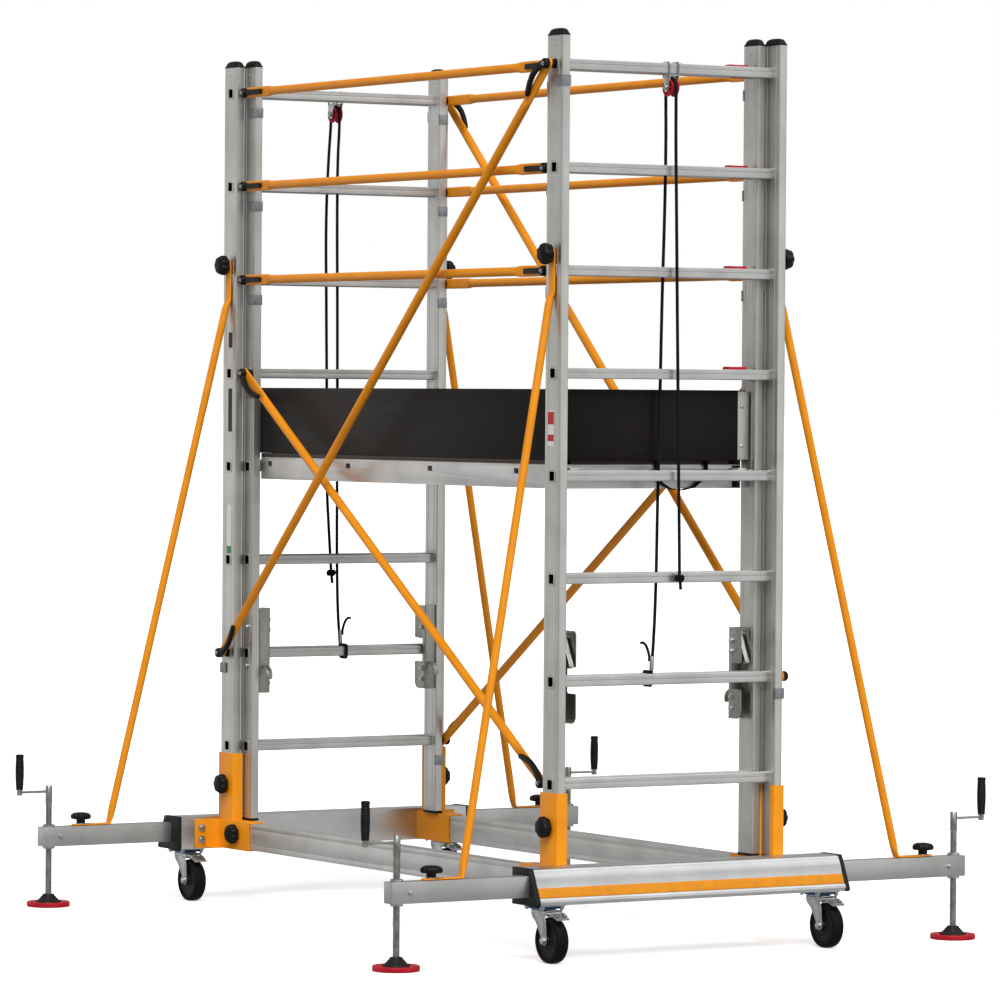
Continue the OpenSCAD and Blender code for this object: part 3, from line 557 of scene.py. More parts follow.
def braided_rope(name, turns):
    # Braided polyester cord, black: crossing strands of 2 mm, drawn at 4 mm so that they show.
    made, tree, shader = start_material(name, Roughness=0.82, Specular_IOR_Level=0.15, Sheen_Weight=0.04)
    where = put(tree, "ShaderNodeTexCoord")
    grid = put(tree, "ShaderNodeMapping", {"Vector": where.outputs["UV"], "Scale": (turns, 4.0, 1.0),
                                           "Rotation": (0, 0, 0.78)})
    strands = put(tree, "ShaderNodeTexChecker", {"Vector": grid.outputs[0], "Scale": 1.0})
    fuzz = put(tree, "ShaderNodeTexNoise", {"Vector": where.outputs["Object"], "Scale": 700.0, "Detail": 3.0})
    shade = put(tree, "ShaderNodeValToRGB", {"Fac": strands.outputs["Fac"]},
                stops=[(0.0, "#070707"), (1.0, "#100f0e")])
    tree.links.new(shade.outputs["Color"], shader.inputs["Base Color"])
    relief = put(tree, "ShaderNodeMath", {0: strands.outputs["Fac"], 1: fuzz.outputs["Fac"]}, operation="ADD")
    bump = put(tree, "ShaderNodeBump", {"Height": relief.outputs[0], "Strength": 0.5, "Distance": 0.0008})
    tree.links.new(bump.outputs["Normal"], shader.inputs["Normal"])
    return made


def woven_strap(name):
    # Polypropylene webbing, black, in a plain weave of about 1.5 mm.
    made, tree, shader = start_material(name, Roughness=0.82, Specular_IOR_Level=0.15, Sheen_Weight=0.04)
    where = put(tree, "ShaderNodeTexCoord")
    weave = put(tree, "ShaderNodeTexBrick", {"Vector": where.outputs["Object"], "Scale": 330.0,
                                             "Color1": linear("#131312"), "Color2": linear("#0c0c0b"),
                                             "Mortar": linear("#070707")})
    tree.links.new(weave.outputs["Color"], shader.inputs["Base Color"])
    bump = put(tree, "ShaderNodeBump", {"Height": weave.outputs["Fac"], "Strength": 0.4, "Distance": 0.0004},
               invert=True)
    tree.links.new(bump.outputs["Normal"], shader.inputs["Normal"])
    return made


ALUMINIUM_X = extruded_aluminium("extruded_aluminium_along_x", "x", "#dcdcda", "#cdcdcb", 0.42)
ALUMINIUM_Y = extruded_aluminium("extruded_aluminium_along_y", "y", "#c6c6c4", "#b8b8b6", 0.44)
ALUMINIUM_Z = extruded_aluminium("extruded_aluminium_along_z", "z", "#cdcdc9", "#c0c0bb", 0.42)
COVER_ALUMINIUM = extruded_aluminium("satin_aluminium_cover", "y", "#d3d4d3", "#c8c9c8", 0.32)
YELLOW = powder_coat("yellow_powder_coat_on_steel", "#ee950f", "#e38b0b", 0.42)
STRIPE = moulded_plastic("yellow_vinyl_strip", "#dd8e1b", "#d08315", 0.46, 700.0)
BLACK = moulded_plastic("black_glass_filled_nylon", "#0b0c0b", "#060706")
GREY_PLASTIC = moulded_plastic("grey_moulded_nylon", "#1c1d1c", "#131413", 0.5)
RED = moulded_plastic("red_moulded_nylon", "#c4152e", "#a01224", 0.4)
BLUE = moulded_plastic("blue_moulded_polyethylene", "#24508e", "#1c447c", 0.4)
ZINC = zinc_plate("bright_zinc_plated_steel", "#c6c8c6", "#aaadac")
DULL_ZINC = zinc_plate("dull_zinc_plated_steel", "#a2a3a8", "#898a8f", 0.46)
THREAD_STEEL = zinc_plate("zinc_plated_screw_thread", "#b0b1ac", "#8e8f8a", 0.36)
GALVANISED = galvanised_sheet("galvanised_sheet_steel")
FILM_PLY = film_faced_plywood("film_faced_birch_plywood", "#15100c", "#0c0907")
DECK_FILM = deck_film("embossed_phenolic_deck_film")
ROPE = braided_rope("braided_polyester_rope", 700.0)
STRAP = woven_strap("woven_polypropylene_strap")
TYRE = tyre_rubber("solid_rubber_tyre", "#0e0d0c", "#060605")
LABEL_WHITE = moulded_plastic("white_vinyl_label", "#e9e9e6", "#dcdcd8", 0.4, 500.0, 0.05)
LABEL_RED = moulded_plastic("red_vinyl_label", "#c22432", "#b41f2c", 0.4, 500.0, 0.05)
LABEL_BLACK = moulded_plastic("black_vinyl_label", "#1d1d1d", "#151515", 0.4, 500.0, 0.05)
LABEL_GREEN = moulded_plastic("green_vinyl_label", "#3f8f4f", "#37813f", 0.4, 500.0, 0.05)

# ---------------------------------------------------------------- hoist ropes
# X is counted from the middle of the outer ladder, positive outboard. Each route runs from the
# tie at the inner rung, over the sheave, to the free end.

RIGHT_ROPE = [(-34, -20, 744), (-34, -19, 780), (-32, -16, 840), (-29, -12, 960), (-27, -8, 1240),
              (-27, -3, 1520), (-27, 2, 1800), (-26, 8, 2070), (-25, 9, 2250), (-25, 8, 2340),
              (-25, 8, 2379), (-22, 8, 2391), (-13, 8, 2400), (0, 8, 2404), (13, 8, 2400),
              (22, 8, 2391), (25, 8, 2379), (26, 8, 2340), (28, 7, 2250), (30, 9, 2070),
              (30, 14, 1800), (29, 20, 1520), (29, 24, 1300), (29, 27, 1160), (29, 29, 1038)]
LEFT_ROPE = [(-34, -2, 744), (-34, 1, 790), (-32, 5, 850), (-29, 8, 980), (-27, 9, 1240),
             (-27, 10, 1520), (-27, 12, 1800), (-26, 14, 2070), (-25, 12, 2250), (-25, 8, 2340),
             (-25, 8, 2379), (-22, 8, 2391), (-13, 8, 2400), (0, 8, 2404), (13, 8, 2400),
             (22, 8, 2391), (25, 8, 2379), (26, 9, 2340), (28, 14, 2250), (30, 20, 2070),
             (30, 18, 1800), (29, 15, 1520), (29, 14, 1280), (29, 5, 1120), (29, -4, 994)]


def rope_points(route, side):
    """The route in the frame; the left one is turned half round."""
    return [Vector((side * (XO + x), side * y, z)) for x, y, z in route]


def make_rope(name, route, side, end_pieces):
    points = rope_points(route, side)
    data = bpy.data.curves.new(name, "CURVE")
    data.dimensions = "3D"
    data.bevel_depth = ROPE_D / 2000
    data.bevel_resolution = 5
    data.resolution_u = 6
    data.use_fill_caps = True
    spline = data.splines.new("BEZIER")
    spline.bezier_points.add(len(points) - 1)
    for knot, point in zip(spline.bezier_points, points):
        knot.co = point / 1000
        knot.handle_left_type = knot.handle_right_type = "AUTO"
    data.materials.append(ROPE)
    rope = bpy.data.objects.new(name, data)
    bpy.context.scene.collection.objects.link(rope)
    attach(rope, "base")
    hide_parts(name)
    return rope


def make_rope_ends(name, route, side):
    """Turn round the inner rung, swaged ferrule with a short tail, and the stopper knot at the free end."""
    start, end = rope_points(route, side)[0], rope_points(route, side)[-1]
    rung_x, rung_level, out = side * XI, rung_z(2), RUNG / 2 + 4.9
    turn = []
    for x, z, first in ((out, out, 0), (-out, out, 90), (-out, -out, 180), (out, -out, 270)):
        turn += arc((x - math.copysign(6, x), 0, z - math.copysign(6, z)), 6, first, first + 90, 5)
    turn = [Vector((rung_x + side * x, start.y, rung_level + z)) for x, _, z in turn]
    turn.append(turn[0].copy())
    lower, upper = start + Vector((0, 0, 28)), start + Vector((side * 1, side * 1.5, 68))
    ferrule = rod(lower, upper, 6.2, 24, 1.2)
    tail = [upper + Vector((-side * 5, -side * 6, dz)) for dz in (-14, 0)]
    tail += [upper + Vector((-side * 6, -side * 10, 16)), upper + Vector((-side * 5, -side * 17, 30)),
             upper + Vector((-side * 3, -side * 27, 38)), upper + Vector((-side * 2, -side * 36, 37))]
    knot = []
    for i in range(49):
        t = math.tau * i / 48
        knot.append(end + Vector((6.2 * (math.sin(t) + 0.8 * math.sin(2 * t)),
                                  6.2 * (math.cos(t) - 0.8 * math.cos(2 * t)), -9 - 5.5 * math.sin(3 * t))))
    loose = [end + Vector((1, 0, -10)), end + Vector((3, 1, -24)), end + Vector((2, 3, -40))]
    return piece(f"{name}_ends", {ZINC: [ferrule],
                                  ROPE: [wire(turn, ROPE_D / 2), wire(tail, ROPE_D / 2 - 0.6),
                                         wire(knot, ROPE_D / 2), wire(loose, ROPE_D / 2)]}, "base")


make_rope("rope_right", RIGHT_ROPE, 1, [make_rope_ends("rope_right", RIGHT_ROPE, 1)])
make_rope("rope_left", LEFT_ROPE, -1, [make_rope_ends("rope_left", LEFT_ROPE, -1)])

# ---------------------------------------------------------------- ladders


def stile_outline(depth):
    """Section of a stile: rounded corners, and a groove by each edge of both broad faces."""
    half, radius, groove = depth / 2, 2.5, 17
    outline = []
    for turn in (0, 1):
        flip = -1 if turn else 1
        corner = [(half - radius + radius * math.cos(a), STILE_W / 2 - radius + radius * math.sin(a))
                  for a in [math.radians(d) for d in (0, 22, 45, 68, 90)]]
        face = [(half - groove + 1.6, STILE_W / 2), (half - groove + 1, STILE_W / 2 - 0.9),
                (half - groove - 1, STILE_W / 2 - 0.9), (half - groove - 1.6, STILE_W / 2)]
        mirrored = [(-x, y) for x, y in reversed(corner + face)]
        outline += [(flip * x, flip * y) for x, y in corner + face + mirrored]
    return [(x, y + STILE_W / 2) for x, y in outline]


def stile(depth, bottom, top):
    return shifted(plate(stile_outline(depth), top - bottom), z=bottom)


def make_stiles():
    outer = shifted(stile(OUTER_DEPTH, low("outer_stiles").z, STILE_TOP), XO, YO - STILE_W)
    inner = shifted(stile(INNER_DEPTH, low("fly_stiles").z, STILE_TOP), XI, YI - STILE_W)
    piece("outer_stile_profiles", {ALUMINIUM_Z: in_corners(outer)}, "base", ["outer_stiles"])
    piece("inner_stile_profiles", {ALUMINIUM_Z: in_corners(inner)}, "fly_frame", ["fly_stiles"])


def rung(reach):
    """Ribbed square tube with a flared and hollow end on the outer face of each stile."""
    half = RUNG / 2
    tread = []
    for i in range(7):
        x = -half + 4 + i * (RUNG - 8) / 6
        tread += [(x - 0.9, 0.0), (x - 0.5, 0.7), (x + 0.5, 0.7), (x + 0.9, 0.0)]
    top = [(-half + 2, half)] + [(x, half + h) for x, h in tread] + [(half - 2, half)]
    front = [(half - 0.3, half - 2), (half, 4), (half - 0.7, 2.6), (half - 0.7, 1.4), (half - 0.2, 0),
             (half - 0.9, -half + 2)]
    under = [(half - 2.4, -half), (-half + 2.4, -half)]
    back = [(-x, z) for x, z in reversed(front)]
    tube = plate(top + front + under + back, 2 * reach, 0.0)
    parts = [moved(tube, Matrix.Translation((0, reach, 0)) @ UPRIGHT)]
    rings = [at_height(rounded(33, 35, 5), 0), at_height(rounded(34, 36, 5.5), 0.7),
             at_height(rounded(33, 35, 5.5), COLLAR), at_height(rounded(27, 29, 4), COLLAR + 0.4),
             at_height(rounded(24, 25.5, 2.5), COLLAR), at_height(rounded(23, 24.5, 2), -2),
             at_height(rounded(22, 23.5, 2), -34)]
    rim = lofted(rings)
    for side in (1, -1):
        place = Matrix.Translation((0, side * reach, 0)) @ Matrix.Rotation(math.radians(-90 * side), 4, "X")
        parts.append(moved(rim, place))
    return parts


def make_rungs():
    for name, node, x, reach in (("outer_rung_tubes", "outer_rungs", XO, YO),
                                 ("inner_rung_tubes", "fly_rungs", XI, YI)):
        parts = [shifted(part, side * x, 0, rung_z(level)) for part in rung(reach)
                 for side in (1, -1) for level in range(1, RUNG_COUNT + 1)]
        piece(name, {ALUMINIUM_Y: parts}, body_of(node), [node], angle=24)


def stile_cap(depth):
    """Plug cap: a round dome over a narrow rolled rim."""
    rings = [at_height(rounded(depth + proud, STILE_W + proud, radius), z)
             for proud, radius, z in ((-1.2, 3, 0), (2, 4, 0.8), (2.6, 5, 3))]
    for angle in (12, 24, 36, 48, 60, 70, 78, 84, 88):
        share = math.cos(math.radians(angle)) ** 0.62
        across = (STILE_W + 1.6) * share
        rings.append(at_height(rounded((depth + 1.6) * share, across, across * 0.46),
                               3 + 17 * math.sin(math.radians(angle))))
    return lofted(rings)


def make_caps():
    """Caps over and under the stiles, with the rivets that hold them."""
    outer = shifted(stile_cap(OUTER_DEPTH), XO, YO - STILE_W / 2, STILE_TOP)
    inner = shifted(stile_cap(INNER_DEPTH), XI, YI - STILE_W / 2, STILE_TOP)
    foot_z = low("fly_caps").z
    shoe = block((XI - 36, YI - 26, foot_z), (XI + 36, YI + 1, foot_z + 7.7), 1.6)
    rivets = {}
    for x, y in ((XO, YO), (XI, YI)):
        rivets[x] = [dome_screw((x, y, STILE_TOP - 24), (0, 1, 0), 3.2, 1.6),
                     dome_screw((x, y - STILE_W, STILE_TOP - 24), (0, -1, 0), 3.2, 1.6)]
    rivets[XI].append(dome_screw((XI + 20, YI, foot_z + 24), (0, 1, 0), 3.4, 2))
    piece("inner_stile_caps", {BLACK: in_corners(inner, shoe),
                               ZINC: in_corners(*rivets[XI])},
          "fly_frame", ["fly_caps"], 40)
    piece("outer_stile_caps", {BLACK: in_corners(outer),
                               ZINC: in_corners(*rivets[XO])},
          "base", (), 40)
    softened("black_caps", GREY_PLASTIC, 1.2, lambda p: p.z < BEAM_TOP + 40, "beam_end_caps")


def make_rung_sleeves():
    """Red bump saddles over the upper rungs of one inner ladder, with a bead at each end."""
    parts = []
    for level in range(RUNG_COUNT - 4, RUNG_COUNT + 1):
        if level == PLATFORM_LEVEL:
            continue
        y0 = YI - STILE_W - 76
        places = [(0, 0), (0.8, 1), (5, 1), (6, 0), (52, 0), (53, 1), (57.2, 1), (58, 0)]
        saddle = lofted([[(x * (1 + 0.06 * bead), y0 + y, z + 4.4 * (1 + 0.1 * bead))
                          for x, z in rounded(RUNG + 4, RUNG + 9, 5)] for y, bead in places])
        parts.append(shifted(saddle, XI, 0, rung_z(level)))
    piece("red_rung_saddles", {RED: parts}, "fly_frame", ["rung_sleeves"])


make_stiles()
make_rungs()
make_caps()
make_rung_sleeves()

# ---------------------------------------------------------------- braces

FRONT_RAILS = [(-INNER_BRACE_X, rung_z(level), INNER_BRACE_X, rung_z(level))
               for level in range(RUNG_COUNT - 2, RUNG_COUNT + 1)]
INNER_DIAGONAL = (-INNER_BRACE_X, rung_z(5), INNER_BRACE_X, rung_z(1))
OUTER_DIAGONAL = (-XO, rung_z(2), XO, rung_z(RUNG_COUNT))


def brace_tube(run, y):
    """Round tube whose ends are pressed into long flat blades, in a plane across Y."""
    x1, z1, x2, z2 = run
    start, end = Vector((x1, -y, z1)), Vector((x2, -y, z2))
    ahead = (end - start).normalized()
    length = (end - start).length
    eye = 15
    half = []
    for angle in (8, 25, 45, 66, 90):
        reach = -eye * math.cos(math.radians(angle))
        half.append((reach, 2 * eye * math.sin(math.radians(angle)), FLAT_T, 3.6))
    half += [(24, 30.4, FLAT_T, 3.6), (60, 30.8, FLAT_T + 0.4, 3.6), (110, 31, FLAT_T + 0.8, 3.4),
             (132, 31, FLAT_T + 1.4, 3.2), (138, 30.6, 11.5, 2.9), (146, 28.6, 16, 2.4),
             (155, 26.4, 21, 2.1), (166, 2 * BRACE_R, 2 * BRACE_R, 2.0)]
    stations = half + [(length - s, w, t, f) for s, w, t, f in reversed(half)]
    path = [start + ahead * s for s, _, _, _ in stations]
    sections = [oval(w, t, 28, f) for _, w, t, f in stations]
    return swept(path, sections, Vector((-ahead.z, 0, ahead.x)))


def lever(bowed):
    """Locking lever in its own axes: X along the tube, Z out from it, boss at the origin."""
    boss = turned([(0, 0), (13.6, 0), (14.2, 1), (14.4, 9), (13.6, 12.6), (11.4, LEVER_T - 1), (7.4, LEVER_T),
                   (7, LEVER_T - 2), (0, LEVER_T - 2)], 36)
    if bowed:
        stations = [(4, -5, 7, 20, 12), (20, -13, 8, 17, 13), (42, -19, 9, 15, 13),
                    (66, -20, 9.4, 14.4, 12.6), (90, -15, 9.4, 14.4, 12), (110, -7, 9, 14.6, 11.4),
                    (122, -1.5, 8.6, 13, 10), (126, 0.5, 8.4, 8, 7)]
    else:
        stations = [(6, 0, 5.4, 22, 9), (16, 0, 5.6, 17, 9), (22, 0, 5.8, 15.6, 8.4), (60, 0, 5.8, 15.4, 7.4),
                    (96, 0, 5.6, 15.4, 6.6), (103, 0, 5.4, 15, 6), (105, 0, 5.2, 12, 4.6)]
    path = [(x, y, z) for x, y, z, _, _ in stations]
    arm = swept(path, [oval(w, t, 24, 5) for _, _, _, w, t in stations], (0, 1, 0))
    return [boss, arm]


def lever_bolt():
    """Bolt and washer in the middle of a lever's boss."""
    return [rod((0, 0, LEVER_T - 2.4), (0, 0, LEVER_T - 1), 6.2, 28, 0.3),
            rod((0, 0, LEVER_T - 1), (0, 0, LEVER_T + 3), 4.4, 6, 0.7)]


def lever_places(run, y):
    """Matrices from a lever's own axes to both ends of a brace."""
    x1, z1, x2, z2 = run
    slope = math.atan2(z2 - z1, x2 - x1)
    face = Matrix(((1, 0, 0, 0), (0, 0, -1, 0), (0, 1, 0, 0), (0, 0, 0, 1)))
    places = []
    for x, z, turn in ((x1, z1, slope), (x2, z2, slope + math.pi)):
        swing = Matrix.Rotation(-turn, 4, "Y")
        places.append(Matrix.Translation((x, -y - FLAT_T / 2, z)) @ swing @ face)
    return places


def clip(x, z, face, depth, outboard):
    """Sheet steel clip hooked round one corner of a stile, just below a rung's end."""
    inward = (-1 if x > 0 else 1) * (-1 if outboard else 1)
    edge = x + inward * depth / 2
    outline = [(edge - inward * 33, -face - 2.6), (edge + inward * 3, -face - 2.6),
               (edge + inward * 3, -face + STILE_W + 2.4), (edge - inward * 6, -face + STILE_W + 2.4),
               (edge - inward * 6, -face + STILE_W), (edge + inward * 0.2, -face + STILE_W),
               (edge + inward * 0.2, -face - 0.1), (edge - inward * 33, -face - 0.1)]
    return shifted(plate(outline, 30, 0.5), z=z - (61 if outboard else 74))


def spacer(x, z, y, face):
    """Turned steel spacer between a stile's face and the flattened end."""
    reach = y - face - FLAT_T / 2
    ring = turned([(0, 0), (13, 0), (13, 2), (10, 2.6), (10, reach - 2.4), (12, reach - 2), (12, reach),
                   (0, reach)], 32)
    return moved(ring, axis_to((x, -face, z), (0, -1, 0)))


def make_brace_set(name, runs, y, face, x_stile, depth, nodes, body):
    tubes, levers, steel, clips = [], [], [], []
    for run in runs:
        tubes += both_ends(brace_tube(run, y))
        for place in lever_places(run, y):
            levers += both_ends(*[moved(part, place) for part in lever(run[1] != run[3])])
            steel += both_ends(*[moved(part, place) for part in lever_bolt()])
        for end in (0, 1):
            side = 1 if end else -1
            clips += both_ends(clip(side * x_stile, run[1 + 2 * end], face, depth, name == "outer"))
            levers += both_ends(spacer(run[2 * end], run[1 + 2 * end], y, face))
    piece(f"{name}_brace_tubes", {YELLOW: tubes}, body, [nodes[0]], 50)
    piece(f"{name}_brace_levers", {BLACK: levers}, body, [nodes[1]], 40)
    piece(f"{name}_brace_clips", {DULL_ZINC: clips, ZINC: steel}, body, [nodes[2]])


make_brace_set("outer", [OUTER_DIAGONAL], OUTER_BRACE_Y, YO + COLLAR, XO, OUTER_DEPTH,
               ["outer_braces", "outer_levers", "outer_clips"], "base")
make_brace_set("inner", FRONT_RAILS + [INNER_DIAGONAL], INNER_BRACE_Y, YI + COLLAR, XI, INNER_DEPTH,
               ["fly_braces", "fly_levers", "fly_clips"], "fly_frame")

# ---------------------------------------------------------------- base


def lobed(radius, depth, lobes=7, sides=84):
    """Section of a lobed knob."""
    points = []
    for i in range(sides):
        angle = math.tau * i / sides
        r = radius - depth * (0.5 - 0.5 * math.cos(lobes * angle)) ** 1.6
        points.append((r * math.cos(angle), r * math.sin(angle)))
    return points


def hand_knob(height=34, radius=30, stem=12, rise=0.0):
    """Hand knob standing on Z: stem, seven shallow lobes and a full dome; rise lifts the lobes off the stem."""
    rings = []
    neck = radius - stem
    for share, inset, depth in ((0.0, neck, 0), (0.1, neck - 0.4, 0), (0.13, 9, 2), (0.16, 4, 2.8),
                                (0.22, 1.4, 3.2), (0.32, 0.2, 3.6), (0.48, 0, 3.8), (0.62, 0.6, 3.7),
                                (0.74, 2.4, 3.4), (0.84, 5.4, 2.8), (0.92, 10, 1.8), (0.97, 16, 0.8),
                                (1.0, 24, 0)):
        lift = share if share == 0 else rise + (1 - rise) * share
        rings.append(at_height(lobed(radius - inset, depth), height * lift))
    return lofted(rings)


def beam_outline():
    """Section of a base beam in X and Z: flat foot, smooth bellied cover, upright inner side."""
    shelf = BEAM_IN + BEAM_SHELF
    top, foot = Vector((shelf + 3, BEAM_TOP - 6)), Vector((BEAM_FOOT - 2.5, BEAM_LOW + 6))
    slope = (foot - top).normalized()
    out = Vector((-slope.y, slope.x))
    length = (foot - top).length
    corner = Vector((shelf + 1.6, BEAM_TOP))
    edge = []
    for t in (0, 0.2, 0.4, 0.6, 0.8, 1):
        edge.append((Vector((shelf - 7, BEAM_TOP)) * (1 - t) + corner * t) * (1 - t)
                    + (corner * (1 - t) + (top + slope * 3 + out * 0.3) * t) * t)
    belly = [top + slope * (6 + 5.4 * i) + out * (0.3 + 1.7 * math.sin(math.pi * (i + 0.5) / 8))
             for i in range(8)]
    shoulder = [top + slope * 46 + out * 0.3, top + slope * 47.6 - out * 0.2]
    lip = [top + slope * (length + along) + out * proud
           for along, proud in ((-15.2, 0), (-14.6, 1.4), (-12.4, 2.6), (-9, 3.3), (-5.4, 3.3), (-2.4, 2.5),
                                (-0.6, 1))]
    groove = []
    for share in (0.66, 0.34):
        z = BEAM_LOW + share * (BEAM_TOP - BEAM_LOW)
        groove += [(BEAM_IN, z + 2), (BEAM_IN + 1.6, z + 1.6), (BEAM_IN + 1.6, z - 1.6), (BEAM_IN, z - 2)]
    points = [(BEAM_IN, BEAM_LOW), (BEAM_FOOT - 6, BEAM_LOW), (BEAM_FOOT - 2.4, BEAM_LOW + 1.6)]
    points += [tuple(p) for p in reversed(edge + belly + shoulder + lip)]
    points += [(BEAM_IN, BEAM_TOP)]
    return points + groove, top, slope, out, length


def along_beam(outline, reach):
    """Extrudes an X and Z outline along the beam, to both sides of the middle."""
    made = plate([(x, z) for x, z in outline], 2 * reach)
    return moved(made, Matrix.Translation((0, reach, 0)) @ UPRIGHT)


def both_sides(made):
    return [made, moved(made, Matrix.Diagonal((-1, 1, 1, 1)))]


def make_base_beams():
    outline, top, slope, out, length = beam_outline()
    beam = along_beam(outline, BEAM_END)
    strip = []
    for along, proud in ((47.8, -0.1), (48.4, 1.2), (50.4, 1.9), (56, 2.2), (length - 21, 2.2),
                         (length - 17.4, 1.8), (length - 15.9, 1.1), (length - 15.5, -0.1)):
        strip.append(top + slope * along + out * proud)
    insert = along_beam([tuple(p) for p in reversed(strip)], BEAM_END - 1)
    piece("base_beam_covers", {COVER_ALUMINIUM: both_sides(beam), STRIPE: both_sides(insert)}, "base",
          ["base_beams"], 28)


def make_frame_corners():
    softened("long_beams", ALUMINIUM_X, 0.5)
    softened("corner_brackets", YELLOW, 1.1)
    knobs, steel = [], []
    for x, face, z, height in ((XO, YO + 4.3, BEAM_TOP + 100, 34),
                               (BEAM_IN - 114, LONG_Y + 4.3, LONG_LOW + 44, 34),
                               (XO, YO + 7.9, STRUT_PIN, 38)):
        knobs += in_corners(moved(hand_knob(height), Matrix.Translation((x, face, z)) @ UPRIGHT.inverted()))
        steel += in_corners(rod((x, face - 0.3, z), (x, face + 1.6, z), 15, 32, 0.4))
    knobs += in_corners(rod((XO, YO, STRUT_PIN), (XO, YO + 8.5, STRUT_PIN), 7))
    piece("black_hand_knobs", {BLACK: knobs, ZINC: steel}, "base", ["clamp_knobs"], 40)


def make_fasteners():
    """Castor plates with their bolts, and the washered bolts of the corner brackets."""
    steel, blue = [], []
    mount = plate(rounded(100, 84, 9), 3, 0.5)
    steel += in_corners(shifted(mount, CASTOR_X, CASTOR_Y, PLATE_LOW))
    ring = turned([(34.6, -8), (41, -8), (42.4, -6.6), (42.4, 0), (34.6, 0)], 48, True)
    blue += in_corners(shifted(ring, CASTOR_X, CASTOR_Y, PLATE_LOW))
    for x in (39, -39):
        for y in (31, -31):
            place = Vector((CASTOR_X + x, CASTOR_Y + y, PLATE_LOW))
            steel += in_corners(*bolt(place, (0, 0, -1), 13, 6, 15))
            steel += in_corners(dome_screw(place - Vector((0, 0, 8)), (0, 0, -1), 5.4, 5))
    for share in (0.27, 0.73):
        place = (BEAM_IN - 4, LONG_Y + 62, LONG_LOW + (LONG_TOP - LONG_LOW) * share)
        steel += in_corners(*bolt(place, (-1, 0, 0), 14.5, 7, 24))
    piece("base_bolts_and_plates", {ZINC: steel, BLUE: blue}, "base", ["base_fasteners"])


make_base_beams()
make_frame_corners()
make_fasteners()

# ---------------------------------------------------------------- outriggers


def make_arm(name, corner):
    thing = softened(f"arm_{name}", ALUMINIUM_Y, 1.6)
    here = mirror_to(corner)
    collar = turned([(SPINDLE_R + 0.6, 0), (17, 0), (17.6, 0.6), (17.6, 5.4), (16, 7), (SPINDLE_R + 0.6, 7)],
                    40, True)
    parts = [moved(shifted(collar, ARM_X, JACK_Y, ARM_TOP), here)]
    parts.append(moved(moved(collar, Matrix.Translation((ARM_X, JACK_Y, ARM_LOW))
                             @ Matrix.Diagonal((1, 1, -1, 1))), here))
    half = 22
    for x, way in ((ARM_X + half, (1, 0, 0)), (ARM_X - half, (-1, 0, 0))):
        for part in bolt((x, JACK_Y - 30, ARM_LOW + 29), way, 10, 5, 15):
            parts.append(moved(part, here))
    piece(f"arm_{name}_fittings", {ZINC: parts}, f"arm_{name}", ())
    return thing


def screw_thread(bottom, top, pitch=6.0, steps=20):
    """Trapezoidal thread, as one turn's profile spun upwards."""
    turns = int((top - bottom) / pitch)
    core, crest = SPINDLE_R - 1.9, SPINDLE_R
    profile = [(core, 0), (core, pitch * 0.22), (crest, pitch * 0.42), (crest, pitch * 0.8), (core, pitch)]
    made = bmesh.new()
    verts = [made.verts.new((r, 0, bottom + z)) for r, z in profile]
    edges = [made.edges.new(pair) for pair in zip(verts, verts[1:])]
    bmesh.ops.spin(made, geom=verts + edges, cent=(0, 0, 0), axis=(0, 0, 1), angle=math.tau * turns,
                   steps=steps * turns, dvec=(0, 0, pitch / steps))
    bmesh.ops.remove_doubles(made, verts=made.verts, dist=0.01)
    bmesh.ops.recalc_face_normals(made, faces=made.faces)
    return made


def grip():
    """Tapered and ribbed crank grip, standing on Z."""
    profile = [(0, 0), (9, 0), (11, 1.2)]
    for i in range(12):
        z = 5 + i * 7.6
        swell = 11 + 2 * math.sin(math.pi * (i + 0.5) / 13)
        profile += [(swell - 0.9, z), (swell, z + 1.6), (swell, z + 5), (swell - 0.9, z + 6.6)]
    profile += [(12.6, 98.5), (12.2, 102), (9.5, 104.6), (0, 105)]
    return turned(profile, 36)


def make_spindle(name, corner):
    here = mirror_to(corner) @ Matrix.Translation((ARM_X, JACK_Y, 0))
    smooth_from = SPINDLE_TOP - 52
    core = rod((0, 0, 16), (0, 0, smooth_from), SPINDLE_R - 1.85, 28)
    head = turned([(0, smooth_from - 3), (8, smooth_from - 3), (SPINDLE_R, smooth_from),
                   (SPINDLE_R, SPINDLE_TOP - 3), (8, SPINDLE_TOP), (0, SPINDLE_TOP)], 32)
    crank_z = SPINDLE_TOP - 18
    path = [(0, y, crank_z) for y in (4, 14, 30, 60, 84, CRANK, CRANK + 8)]
    widths = [(10, 8), (10, 8), (9.6, 7.4), (9.4, 7.2), (10, 7), (13, 6.4), (8, 5)]
    crank = swept(path, [oval(w, t, 16, 3) for w, t in widths], (1, 0, 0))
    pin = rod((0, CRANK, crank_z - 4), (0, CRANK, SPINDLE_TOP - 8), 6)
    nut = rod((0, CRANK, crank_z - 9), (0, CRANK, crank_z - 3.4), 8.6, 6, 0.8)
    collar = rod((0, CRANK, SPINDLE_TOP - 13), (0, CRANK, SPINDLE_TOP - 10), 9.6, 28, 0.5)
    steel = [core, head, crank, pin, nut, collar, screw_thread(30, smooth_from)]
    handle = shifted(grip(), 0, CRANK, SPINDLE_TOP - 10)
    piece(f"jack_spindle_{name}", {THREAD_STEEL: [moved(part, here) for part in steel],
                                   BLACK: [moved(handle, here)]},
          f"spindle_{name}", [f"spindle_{name}"])


